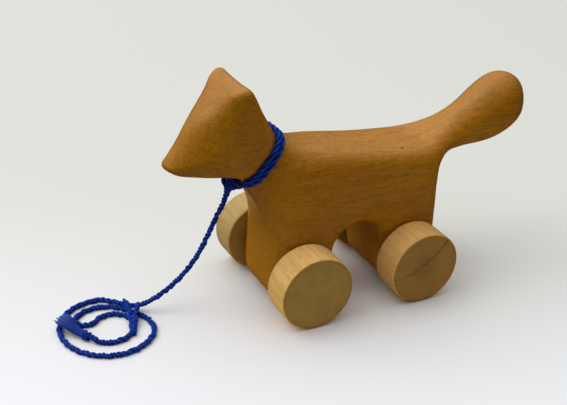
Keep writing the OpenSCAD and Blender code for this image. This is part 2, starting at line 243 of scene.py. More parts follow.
def remeshed(piece: bpy.types.Object, grain: float) -> np.ndarray:
    """Even out a closed piece's mesh.

    Args:
        piece: The piece, whose mesh is replaced.
        grain: Size of the new faces in metres.

    Returns:
        The new vertices in metres.
    """
    skin = piece.modifiers.new("skin", "REMESH")
    skin.mode = "VOXEL"
    skin.voxel_size = grain
    skin.use_smooth_shade = True
    apply_modifiers(piece)
    points = np.empty(3 * len(piece.data.vertices), np.float32)
    piece.data.vertices.foreach_get("co", points)
    return points.reshape(-1, 3)


def sanded(piece: bpy.types.Object, rounds: int, share: np.ndarray | None = None) -> None:
    """Sand a piece's ridges.

    Args:
        piece: The piece, whose mesh is replaced.
        rounds: Rounds of smoothing.
        share: How much of the smoothing each vertex takes, 0 to 1, in tenths; all of it when left out.
    """
    rub = piece.modifiers.new("rub", "SMOOTH")
    rub.factor = 0.5
    rub.iterations = rounds
    if share is not None:
        group = piece.vertex_groups.new(name="rubbed")
        tenths = np.round(10 * share).astype(int)
        for tenth in range(1, 11):
            group.add(np.flatnonzero(tenths == tenth).tolist(), tenth / 10, "REPLACE")
        rub.vertex_group = group.name
    apply_modifiers(piece)


def dress(
    piece: bpy.types.Object, finish: bpy.types.Material, body: Body, slot: Slot, *nodes: str
) -> bpy.types.Object:
    """Give a piece its finish and its body, and hide any nodes it stands for.

    Args:
        piece: The piece.
        finish: Its material.
        body: Rigid body that carries it.
        slot: Slot of the record that its finish belongs to; not used.
        nodes: Nodes that it replaces.

    Returns:
        The same piece.
    """
    piece.data.materials.clear()
    piece.data.materials.append(finish)
    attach(piece, body.value)
    if nodes:
        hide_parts(*nodes)
    return piece


class Graph:
    """Short way to write the nodes of a material or of the world."""

    def __init__(self, owner: bpy.types.ID) -> None:
        """Start from the owner's default nodes.

        Args:
            owner: Material or world that the nodes belong to.
        """
        owner.use_nodes = True
        self.owner = owner
        self.tree = owner.node_tree

    def node(self, kind: str, inputs: dict | None = None, **settings: object) -> bpy.types.Node:
        """Add a node.

        Args:
            kind: Type of the node, without its ShaderNode prefix.
            inputs: Values or sockets per input name or number.
            settings: Properties of the node.

        Returns:
            The node.
        """
        node = self.tree.nodes.new("ShaderNode" + kind)
        for key, value in settings.items():
            setattr(node, key, value)
        for key, value in (inputs or {}).items():
            self.put(node.inputs[key], value)
        return node

    def put(self, socket: Socket, value: object) -> None:
        """Link a socket to another or set its value.

        Args:
            socket: Input of a node.
            value: Output of a node, or a plain value.
        """
        if isinstance(value, Socket):
            self.tree.links.new(value, socket)
        elif socket.type == "RGBA" and len(value) == 3:
            socket.default_value = (*value, 1.0)
        else:
            socket.default_value = value

    def maths(self, operation: str, *values: object) -> Socket:
        """Result of a Math node."""
        return self.node("Math", dict(enumerate(values)), operation=operation).outputs[0]

    def times(self, first: object, second: object) -> Socket:
        """Product of two values."""
        return self.maths("MULTIPLY", first, second)

    def plus(self, value: object, factor: object, start: object) -> Socket:
        """Value times factor plus start."""
        return self.maths("MULTIPLY_ADD", value, factor, start)

    def vector(self, operation: str, output: str, *values: object) -> Socket:
        """One output of a Vector Math node."""
        return self.node("VectorMath", dict(enumerate(values)), operation=operation).outputs[output]

    def mix(self, share: object, first: object, second: object) -> Socket:
        """Colour mixed from two by a share.

        Args:
            share: Share of the second colour.
            first: First colour.
            second: Second colour.

        Returns:
            The mixed colour.
        """
        node = self.node("Mix", data_type="RGBA")
        for number, value in ((0, share), (6, first), (7, second)):
            self.put(node.inputs[number], value)
        return node.outputs[2]

    def tint(self, colour: object, tone: object, share: object, amount: object) -> Socket:
        """Colour drawn towards a tone by a share times an amount."""
        return self.mix(self.times(share, amount), colour, tone)

    def ramp(self, value: object, low: float, high: float) -> Socket:
        """Smooth share of a value between low and high."""
        return self.node("MapRange", {0: value, 1: low, 2: high}, interpolation_type="SMOOTHSTEP").outputs[0]

    def coords(self, kind: str = "Object") -> Socket:
        """Coordinates of the shaded point."""
        return self.node("TexCoord").outputs[kind]

    def lay(self) -> list[Socket]:
        """Values (along, around) of the UV map "lay"."""
        return self.node("SeparateXYZ", {0: self.node("UVMap", uv_map="lay").outputs[0]}).outputs[:2]

    def mapped(self, vector: object, **inputs: Triple) -> Socket:
        """A vector with Location, Rotation and Scale of a Mapping node."""
        return self.node("Mapping", {"Vector": vector, **inputs}).outputs[0]

    def noise(self, vector: object, scale: float, detail: float = 2.0, rough: float = 0.5) -> Socket:
        """Value of a noise texture."""
        inputs = {"Vector": vector, "Scale": scale, "Detail": detail, "Roughness": rough}
        return self.node("TexNoise", inputs).outputs[0]

    def surface(
        self, colour: object, roughness: object, height: object, depth: float, gloss: float
    ) -> bpy.types.Material:
        """Connect the shader's inputs and return the material.

        Args:
            colour: Base colour.
            roughness: Roughness.
            height: Height of the bump, 0 to 1.
            depth: Distance in metres that a height of 1 stands for.
            gloss: Specular level.

        Returns:
            The finished material.
        """
        bump = self.node("Bump", {"Height": height, "Strength": 1.0, "Distance": depth}).outputs[0]
        shader = self.tree.nodes["Principled BSDF"].inputs
        self.put(shader["Base Color"], colour)
        self.put(shader["Roughness"], roughness)
        self.put(shader["Normal"], bump)
        self.put(shader["Specular IOR Level"], gloss)
        return self.owner


@dataclass(frozen=True)
class Figure:
    """One figure of the wood: noise stretched per axis, kept between two levels and mixed in by an amount."""

    stretch: Triple
    low: float
    high: float
    amount: float = 1.0
    detail: float = 2.0
    rough: float = 0.5

    def noise(self, g: Graph, place: Socket) -> Socket:
        """The stretched noise."""
        return g.noise(g.mapped(place, Scale=self.stretch), 1.0, self.detail, self.rough)

    def share(self, g: Graph, place: Socket) -> Socket:
        """The noise between the two levels."""
        return g.ramp(self.noise(g, place), self.low, self.high)


@dataclass(frozen=True)
class OiledBeech:
    """Warm oiled beech with grain along X, short dark flecks and a pin knot."""

    name: str = "oiled_beech"
    light: Colour = (0.56, 0.232, 0.005)
    middle: Colour = (0.49, 0.196, 0.004)
    dark: Colour = (0.29, 0.105, 0.003)
    fleck_tone: Colour = (0.18, 0.058, 0.002)
    knot: Colour = (0.06, 0.02, 0.006)
    knot_at: Triple = (-0.0220, 0.0133, 0.0194)
    knot_stretch: Triple = (1.0, 1.0, 0.25)
    knot_r: tuple[float, float] = (0.0013, 0.0004)
    broad: Figure = Figure((9.0, 26.0, 26.0), 0.3, 0.7)
    lines: Figure = Figure((16.0, 420.0, 420.0), 0.46, 0.74, 0.45, 4.0, 0.6)
    streaks: Figure = Figure((90.0, 1100.0, 1100.0), 0.4, 0.72, 0.55, 3.0)
    flecks: Figure = Figure((260.0, 2100.0, 2100.0), 0.56, 0.7, 0.6, 1.0)
    fine: Figure = Figure((120.0, 1900.0, 1900.0), 0.4, 0.75, 0.2)
    relief: float = 0.00006
    gloss: float = 0.35

    def build(self) -> bpy.types.Material:
        """Mix broad figure, grain lines, streaks, flecks, fine grain and the knot.

        Returns:
            The material.
        """
        g = Graph(bpy.data.materials.new(self.name))
        here = g.coords()
        colour = g.mix(self.broad.share(g, here), self.middle, self.light)
        layers = (
            (self.lines, self.dark), (self.streaks, self.dark),
            (self.flecks, self.fleck_tone), (self.fine, self.dark),
        )
        for figure, tone in layers:
            colour = g.tint(colour, tone, figure.share(g, here), figure.amount)
        away = g.vector("DISTANCE", "Value", g.mapped(here, Scale=self.knot_stretch), self.knot_at)
        colour = g.mix(g.ramp(away, *self.knot_r), colour, self.knot)
        fine = self.fine.noise(g, here)
        height = g.plus(self.flecks.share(g, here), -0.6, g.times(fine, 0.5))
        return g.surface(colour, g.plus(fine, 0.1, 0.22), height, self.relief, self.gloss)


@dataclass(frozen=True)
class RawBeech:
    """Pale raw beech of a turned wheel: end grain on the faces, long grain on the tread, maybe a crack. The
    faces are darker than the tread, partly from the end grain and partly as painted shade.
    """

    name: str
    slant: float
    middle: tuple[float, float]
    # Tread lighter and faces darker: partly long grain against end grain, partly painted light on the tread
    # and painted shade on the faces.
    tread: Colour = (0.91, 0.55, 0.18)
    face: Colour = (0.43, 0.27, 0.062)
    rim: Colour = (0.36, 0.17, 0.026)
    pore: Colour = (0.36, 0.19, 0.045)
    line: Colour = (0.20, 0.105, 0.026)
    crack: Colour = (0.085, 0.035, 0.010)
    cracked: bool = False
    growth: float = 0.0017
    wander: Triple = (45.0, 6.0, 110.0)
    wander_by: float = 0.0040
    rim_r: tuple[float, float] = (0.0170, 0.0190)
    pores: Figure = Figure((1500.0, 170.0, 1500.0), 0.53, 0.72, 0.36)
    streaks: Figure = Figure((520.0, 36.0, 520.0), 0.45, 0.75, 0.3)
    relief: float = 0.00007
    gloss: float = 0.25

    def build(self) -> bpy.types.Material:
        """Mix tread and faces, the faces darker partly as painted shade, growth lines square to the slant,
        pores along the axle, rims and the crack.

        Returns:
            The material.
        """
        g = Graph(bpy.data.materials.new(self.name))
        upright = g.mapped(g.coords(), Location=(-self.middle[0], 0.0, -self.middle[1]))
        turned = g.mapped(upright, Rotation=(0.0, math.radians(self.slant), 0.0))
        facing = g.node("SeparateXYZ", {0: g.coords("Normal")}).outputs["Y"]
        on_face = g.ramp(g.maths("ABSOLUTE", facing), 0.6, 0.92)
        flat = g.vector("MULTIPLY", "Vector", upright, (1.0, 0.0, 1.0))
        wander = g.maths("SUBTRACT", g.noise(g.mapped(turned, Scale=self.wander), 1.0, 3.0), 0.5)
        across = g.plus(wander, self.wander_by, g.node("SeparateXYZ", {0: turned}).outputs["Z"])
        waves = g.ramp(g.maths("SINE", g.times(across, 2.0 * math.pi / self.growth)), -0.5, 1.0)
        lines = g.times(waves, g.ramp(g.noise(flat, 150.0), 0.25, 0.65))
        pores = self.pores.share(g, turned)
        broad = g.ramp(g.noise(flat, 70.0), 0.3, 0.7)
        shade = g.plus(broad, 0.1, g.times(lines, g.plus(on_face, 0.42, 0.10)))
        # Faces take the darker face colour: end grain, and painted shade of the faces.
        colour = g.mix(shade, g.mix(on_face, self.tread, self.face), self.line)
        colour = g.tint(colour, self.pore, pores, self.pores.amount)
        colour = g.tint(colour, self.pore, self.streaks.share(g, turned), self.streaks.amount)
        band = g.times(g.ramp(g.vector("LENGTH", "Value", flat), *self.rim_r), on_face)
        colour = g.tint(colour, self.rim, band, 0.7)
        if self.cracked:
            colour = g.tint(colour, self.crack, self.crack_line(g, upright), on_face)
        height = g.plus(pores, -0.6, g.times(lines, -0.3))
        return g.surface(colour, g.plus(pores, 0.12, 0.6), height, self.relief, self.gloss)

    @staticmethod
    def crack_line(g: Graph, place: Socket) -> Socket:
        """Share of the crack and of the stained patch beside it.

        The crack runs along z = 3.2 - 0.70 x + 0.021 x squared in millimetres, wavers and fades downwards.

        Args:
            g: Nodes of the material.
            place: Coordinates from the wheel's middle.

        Returns:
            The share.
        """
        axes = g.node("SeparateXYZ", {0: place}).outputs
        x, z = (g.times(axes[name], 1000.0) for name in "XZ")
        run = g.plus(g.plus(x, 0.021, -0.70), x, 3.2)
        waver = g.plus(g.maths("SUBTRACT", g.noise(place, 260.0), 0.5), 3.4, z)
        away = g.maths("ABSOLUTE", g.maths("SUBTRACT", waver, run))
        split = g.times(g.ramp(away, 0.85, 0.15), g.plus(g.ramp(x, 16.0, 4.0), 0.5, 0.25))
        patch = g.vector("DISTANCE", "Value", place, (0.0005, 0.0194, 0.0018))
        return g.maths("MAXIMUM", split, g.times(g.ramp(patch, 0.0242, 0.0215), 0.3))


@dataclass(frozen=True)
class TwistedCotton:
    """Royal blue cotton cord: fine yarns that follow the lay, with painted shade between the plies and a
    painted highlight on their crests.
    """

    name: str = "twisted_cotton"
    plies: int = 3
    # Colour of the painted highlight on the plies' crests.
    light: Colour = srgb(66, 122, 238)
    middle: Colour = srgb(16, 56, 184)
    # Painted shade in the grooves between plies; also random darker patches and the yarn lines.
    dark: Colour = srgb(0, 5, 48)
    yarns_per_m: float = 900.0
    relief: float = 0.00018
    gloss: float = 0.1

    def build(self) -> bpy.types.Material:
        """Paint shade into the grooves between plies, paint a highlight on each ply's crest and lay fine
        yarns along each ply.

        Returns:
            The material.
        """
        g = Graph(bpy.data.materials.new(self.name))
        along, around = g.lay()
        ply = g.maths("ABSOLUTE", g.maths("COSINE", g.times(around, math.pi * self.plies)))
        slant = g.plus(along, self.yarns_per_m, g.times(around, 5.0))
        yarns = g.maths("SINE", g.times(slant, 2.0 * math.pi * 1.2))
        fuzz = g.noise(g.coords(), 2600.0, 3.0)
        broad = g.noise(g.coords(), 160.0)
        # Painted shade: the dark colour fills the grooves between plies, the middle colour the plies.
        colour = g.mix(g.ramp(ply, 0.2, 0.9), self.dark, self.middle)
        # Painted highlight on each ply's crest, broken up by fuzz.
        crest_highlight = g.plus(g.ramp(ply, 0.8, 1.0), 0.45, 0.25)
        colour = g.tint(colour, self.light, g.ramp(fuzz, 0.36, 0.7), crest_highlight)
        colour = g.tint(colour, self.dark, g.ramp(broad, 0.4, 0.7), 0.25)
        colour = g.tint(colour, self.dark, g.ramp(yarns, 0.0, 1.0), 0.35)
        height = g.plus(yarns, 0.25, fuzz)
        return g.surface(colour, g.plus(fuzz, 0.1, 0.8), height, self.relief, self.gloss)


@dataclass(frozen=True)
class FrayedCotton:
    """Loose blue threads, paler towards their ends."""

    name: str = "frayed_cotton"
    deep: Colour = srgb(2, 12, 80)
    near: Colour = srgb(12, 44, 156)
    far: Colour = srgb(110, 150, 215)
    relief: float = 0.0001
    gloss: float = 0.1

    def build(self) -> bpy.types.Material:
        """Fade the colour along each thread with a little fuzz.

        Returns:
            The material.
        """
        g = Graph(bpy.data.materials.new(self.name))
        along, shade = g.lay()
        fuzz = g.noise(g.coords(), 1800.0)
        colour = g.mix(g.ramp(shade, 0.0, 0.7), self.deep, self.near)
        pale = g.plus(g.maths("POWER", along, 4.0), 0.6, g.times(shade, 0.3))
        colour = g.tint(colour, self.far, pale, g.ramp(fuzz, 0.2, 0.7))
        return g.surface(colour, g.plus(fuzz, 0.1, 0.8), fuzz, self.relief, self.gloss)


@dataclass(frozen=True)
class PaleFloor:
    """Plain pale ground that runs on into the background."""

    name: str = "pale_floor"
    colour: Colour = srgb(223, 224, 219)
    # Paler, bluer floor towards the camera: painted light.
    near: Colour = (0.935, 0.935, 1.0)
    mottle: Colour = (0.5, 0.5, 0.5)
    lighting: Colour = (0.92, 0.87, 0.72)
    beyond: Colour = (0.03, 0.028, 0.024)
    mirrored: Colour = (0.03, 0.026, 0.02)
    patch_at: Triple = (-0.02, 0.07, 0.0)
    patch_r: tuple[float, float] = (0.07, 0.27)
    towards: Triple = (0.54, 0.84, 0.0)
    relief: float = 0.00001
    gloss: float = 0.1

    def build(self) -> bpy.types.Material:
        """Pale colour, painted lighter and bluer towards the camera as painted light, with a faint mottle;
        only the patch round the toy throws light back at it.

        Returns:
            The material.
        """
        g = Graph(bpy.data.materials.new(self.name))
        here = g.coords()
        broad = g.noise(here, 9.0)
        ahead = g.vector("DOT_PRODUCT", "Value", here, self.towards)
        # Painted light: the floor turns to the paler, bluer colour towards the camera.
        colour = g.mix(g.ramp(ahead, -0.1, 0.2), self.colour, self.near)
        colour = g.tint(colour, self.mottle, broad, 0.03)
        path = g.node("LightPath").outputs
        away = g.vector("DISTANCE", "Value", here, self.patch_at)
        bounce = g.mix(g.ramp(away, *self.patch_r), self.lighting, self.beyond)
        unseen = g.mix(path["Is Glossy Ray"], bounce, self.mirrored)
        colour = g.mix(path["Is Camera Ray"], unseen, colour)
        return g.surface(colour, g.plus(broad, 0.1, 0.8), broad, self.relief, self.gloss)


def stand(
    name: str, data: bpy.types.ID, right: np.ndarray, back: np.ndarray, place: Triple
) -> bpy.types.Object:
    """Stand a camera or lamp in the scene.

    Args:
        name: Name of the object.
        data: The camera or light.
        right: Unit vector to its right.
        back: Unit vector away from where it looks.
        place: Where it stands, in metres.

    Returns:
        The linked object.
    """
    holder = bpy.data.objects.new(name, data)
    turn = np.eye(4)
    turn[:3] = np.column_stack([right, np.cross(back, right), back, place])
    holder.matrix_world = Matrix(turn.tolist())
    bpy.context.scene.collection.objects.link(holder)
    return holder


@dataclass
class PhotoCamera:
    """Camera of the photograph: place in metres, its axes and its lens."""

    place: Triple = (0.25683, 0.40465, 0.29128)
    right: Triple = (-0.8903, 0.4531, 0.0451)
    up: Triple = (-0.1740, -0.4300, 0.8859)
    lens: float = 63.97
    sensor: float = 36.0
    near: float = 0.01

    def build(self) -> None:
        """Set up the scene's camera with its axes made square."""
        data = bpy.data.cameras.new("photo_camera")
        data.lens = self.lens
        data.sensor_width = self.sensor
        data.sensor_fit = "HORIZONTAL"
        data.clip_start = self.near
        right = unit(np.array(self.right))
        back = unit(np.cross(right, np.array(self.up)))
        bpy.context.scene.camera = stand("photo_camera", data, right, back, self.place)


@dataclass
class Outline:
    """Side view and widths of the carved body in millimetres.

    The driving sizes are the part's own. Marks, widths and round-overs are as sanding leaves the wood,
    so the surface departs from the solid by up to about 3 mm.
    """

    # The whole, and heights in side view
    body_w: float = 45.8
    wheelbase: float = 64.2
    wheel_d: float = 40.0
    nose_reach: float = 66.5
    tail_reach: float = 79.3
    nose_h: float = 85.0
    ear_h: float = 124.2
    back_h: float = 78.6
    tail_h: float = 106.0
    tail_under_h: float = 67.0
    tail_crown: float = 0.8
    tip_over: float = 0.6
    # Legs and arch
    leg_front: float = 14.6
    leg_rear: float = 19.2
    arch_r: float = 14.7
    arch_h: float = 41.5
    arch_back: float = 3.3
    foot_clear: float = 5.0
    foot_r: float = 8.0
    heel_r: float = 7.0
    # Widths, and how far the wood is drawn in or swells
    head_w: float = 38.0
    nose_w: float = 19.0
    tail_w: float = 26.0
    tip_swell: float = 1.6
    flank_lean: float = 1.8
    flank_foot: float = 46.0
    root_waist: float = 1.8
    root_back: float = 29.0
    root_spread: float = 13.0
    neck_waist: float = 8.2
    neck_back: float = 2.5
    neck_soft: float = 9.0
    shoulder_soft: float = 17.0
    back_swell: float = 0.7
    ear_dip: float = 0.7
    dip_reach: tuple[float, float] = (9.0, 2.0)
    # Radii of the round-over, and where it is cut wider and flatter
    back_r: float = 9.0
    chest_r: float = 13.0
    rump_r: float = 5.0
    neck_r: float = 11.0
    head_r: float = 11.5
    chin_r: float = 8.0
    ear_r: float = 3.5
    tail_r: float = 10.0
    tip_r: float = 12.0
    head_soft: float = 1.2
    head_flat: float = 0.45
    tail_soft: float = 1.0
    tail_flat: float = 0.6
    flat_power: float = 1.5
    tail_wear: float = 0.2
    steps: int = 12

    def __post_init__(self) -> None:
        """Work out the marks that the outline and the cord share."""
        self.front_x = (self.nose_reach + self.wheelbase + self.tail_reach) / 2 - self.nose_reach
        self.rear_x = self.front_x - self.wheelbase
        self.axle_h = self.wheel_d / 2
        self.nose_x = self.front_x + self.nose_reach
        self.tail_x = self.rear_x - self.tail_reach
        self.ear = np.array([self.front_x + 30.5, self.ear_h])
        self.nape = np.array([self.front_x + 8.3, self.back_h + 14.9])
        self.throat = np.array([self.front_x + 29.0, self.back_h - 6.2])
        self.chest = np.array([self.front_x + self.leg_front, self.axle_h + 4.0])
        self.rump = np.array([self.rear_x - self.leg_rear, self.axle_h + 10.0])
        self.arch_x = (self.front_x + self.rear_x) / 2 - self.arch_back
        seat = self.throat + (self.chest - self.throat) * np.array([0.08, 0.03])
        self.neck_half_h = float(np.linalg.norm(seat - self.nape)) / 2
        self.neck_mid = (self.nape + seat) / 2
        self.neck_down = (seat - self.nape) / (2 * self.neck_half_h)
        self.neck_dir = np.array([-self.neck_down[1], self.neck_down[0]])

    def upper(self) -> np.ndarray:
        """Upper outline from the nose over the ears and the back to the tail tip.

        Returns:
            Points as (x, z).
        """
        nose, ear, nape = np.array([self.nose_x, self.nose_h]), self.ear, self.nape
        croup = np.array([self.rear_x - 12.0, self.back_h - 0.4])
        tail = np.array([self.tail_x + 13.5, self.tail_h + self.tail_crown])
        tip = np.array([self.tail_x - self.tip_over, self.tail_h - 14.4])
        forehead = [
            [0.072, 0.084], [0.168, 0.268], [0.315, 0.486], [0.535, 0.68], [0.772, 0.869], [0.893, 0.964],
        ]
        behind = [[0.15, 0.085], [0.425, 0.44], [0.72, 0.745]]
        back = [
            [self.front_x - 3.0, self.back_h + 8.8],
            [self.front_x - 18.0, self.back_h + 5.4],
            [self.rear_x + 24.0, self.back_h + 1.9],
            [self.rear_x + 4.0, self.back_h],
        ]
        rise = [[0.24, 0.152], [0.46, 0.4], [0.68, 0.705], [0.85, 0.91]]
        marks = np.vstack([
            nose, nose + (ear - nose) * np.array(forehead), ear, ear + (nape - ear) * np.array(behind), nape,
            back, croup, croup + (tail - croup) * np.array(rise), tail,
            tail + (tip - tail) * np.array([[0.58, 0.14], [0.91, 0.53]]), tip,
        ])
        return spline(marks, self.steps)

    def upper_cut(self, count: int) -> np.ndarray:
        """Reach factor and flatness of the round-over along the upper outline.

        The forehead and the top of the tail are cut wide and flat, the rest is plainly rounded.

        Args:
            count: Number of points of the upper outline.

        Returns:
            Two values per point.
        """
        at, reach, flat = np.array([
            (0.0, 1.1, 0.3),
            (1.5, self.head_soft, self.head_flat),
            (5.0, self.head_soft, self.head_flat),
            (7.0, 1.0, 0.1),
            (16.0, 1.0, 0.0),
            (18.5, self.tail_soft, self.tail_flat),
            (22.5, self.tail_soft, self.tail_flat),
            (24.0, 1.1, 0.2),
        ]).T
        marks = np.arange(count) / self.steps
        return np.column_stack([np.interp(marks, at, reach), np.interp(marks, at, flat)])

    def lower_runs(self) -> list[np.ndarray]:
        """Lower outline as runs: chin and chest, feet, arch, and rump with tail.

        Returns:
            Points as (x, z), one array per run.
        """
        nose = np.array([self.nose_x, self.nose_h - 1.2])
        tip = np.array([self.tail_x - self.tip_over, self.tail_h - 16.0])
        root = np.array([self.rear_x - self.leg_rear - 7.6, self.tail_under_h + 1.7])
        chin = [[0.06, 0.18], [0.2, 0.42], [0.52, 0.53], [0.79, 0.6]]
        breast = [[0.47, 0.19], [0.83, 0.4], [1.0, 0.58], [1.03, 0.79]]
        chin_marks = np.vstack([
            nose, nose + (self.throat - nose) * np.array(chin), self.throat,
            self.throat + (self.chest - self.throat) * np.array(breast), self.chest,
        ])
        under = [[0.22, 0.01], [0.47, 0.03], [0.68, 0.15], [0.86, 0.37], [0.965, 0.67]]
        tail_marks = np.vstack([
            self.rump + np.array([[0.0, 0.0], [0.4, 15.0], [0.5, 25.5], [-1.2, 33.2]]),
            root, root + (tip - root) * np.array(under), tip,
        ])
        toe, heel, n = self.foot_clear + self.foot_r, self.foot_clear + self.heel_r, self.steps
        inner = self.arch_r + self.heel_r
        return [
            spline(chin_marks, n),
            arc((self.chest[0] - self.foot_r, toe), self.foot_r, 0, -90, n),
            arc((self.arch_x + inner, heel), self.heel_r, -90, -180, n),
            arc((self.arch_x, self.arch_h - self.arch_r), self.arch_r, 0, 180, 4 * n),
            arc((self.arch_x - inner, heel), self.heel_r, 0, -90, n),
            arc((self.rump[0] + self.foot_r, toe), self.foot_r, -90, -180, n),
            spline(tail_marks, n),
        ]

    def neck_share(self, p: np.ndarray) -> np.ndarray:
        """Distance of side-view points past the collar, along the neck."""
        return (p - self.neck_mid) @ self.neck_dir

    def half_width(self, p: np.ndarray) -> np.ndarray:
        """Half width of the wood: torso, tail and head blended, drawn in at the neck and the tail's root.

        Args:
            p: Side-view points as (x, z).

        Returns:
            One half width per point.
        """
        x, z, s = p[..., 0], p[..., 1], self.neck_share(p)
        head = self.head_w / 2 - (self.head_w - self.nose_w) / 2 * ease(self.ear[0] - 6, self.nose_x, x)
        tail = ease(self.rear_x - 6, self.rear_x - 44, x)
        trunk = self.body_w / 2 - (self.body_w - self.tail_w) / 2 * tail
        flank = self.flank_lean * ease(self.flank_foot, self.back_h - 2, z) * (1.0 - tail)
        root = np.exp(-(((x - self.rear_x + self.root_back) / self.root_spread) ** 2))
        root = root * ease(self.back_h - 16, self.back_h, z)
        swell = self.tip_swell * ease(self.rear_x - 46, self.tail_x + 14, x)
        trunk = trunk - flank - self.root_waist * root + swell
        off = s + self.neck_back
        soft = np.where(off < 0, self.shoulder_soft, self.neck_soft)
        waist = self.neck_waist * np.exp(-((off / soft) ** 2))
        return blend(trunk, head, ease(-self.neck_soft, self.neck_soft, s)) - waist

    def edge_radius(self, p: np.ndarray) -> np.ndarray:
        """Radius of the round-over at side-view points.

        Args:
            p: Side-view points as (x, z).

        Returns:
            One radius per point.
        """
        x, z, s = p[..., 0], p[..., 1], self.neck_share(p)
        low = ease(self.back_h - 8, self.back_h - 20, z) * ease(self.rear_x - 8, self.rear_x - 14, x)
        fore = ease(self.front_x - 4, self.chest[0] - 2, x) * ease(self.back_h + 2, self.back_h - 14, z)
        trunk = self.back_r + (self.rump_r - self.back_r) * low + (self.chest_r - self.back_r) * fore
        rear = blend(trunk, self.tail_r, ease(self.rear_x - 22, self.rear_x - 42, x))
        rear = blend(rear, self.tip_r, ease(self.tail_x + 30, self.tail_x + 8, x))
        cheek = blend(self.head_r, self.chin_r, ease(self.nose_h + 2, self.nose_h - 8, z))
        head = blend(cheek, self.ear_r, ease(self.ear_h - 30, self.ear_h - 2, z))
        mixed = blend(rear, head, ease(-self.neck_soft, self.neck_soft, s))
        return blend(mixed, self.neck_r, np.exp(-((s / self.neck_soft) ** 2)))

    def worn(self, p: np.ndarray) -> np.ndarray:
        """Share of further sanding: all of it on the brow between ears and nose, a little on the tail.

        Args:
            p: Side-view points as (x, z).

        Returns:
            One share per point, 0 to 1.
        """
        x, z = p[..., 0], p[..., 1]
        brow = ease(self.ear_h - 3, self.ear_h - 11, z) * ease(self.nose_h + 2, self.nose_h + 12, z)
        ahead = ease(self.ear[0] - 7, self.ear[0] + 3, x)
        on_tail = ease(self.rear_x - 30, self.rear_x - 46, x)
        return np.maximum(brow * ahead, self.tail_wear * on_tail)

    def crown(self, p: np.ndarray) -> np.ndarray:
        """Swell of the back, and the dip between the ears."""
        at_ear = ease(*self.dip_reach, np.linalg.norm(p - self.ear, axis=-1))
        return self.back_swell * ease(self.ear_h - 30, self.back_h + 6, p[..., 1]) - self.ear_dip * at_ear


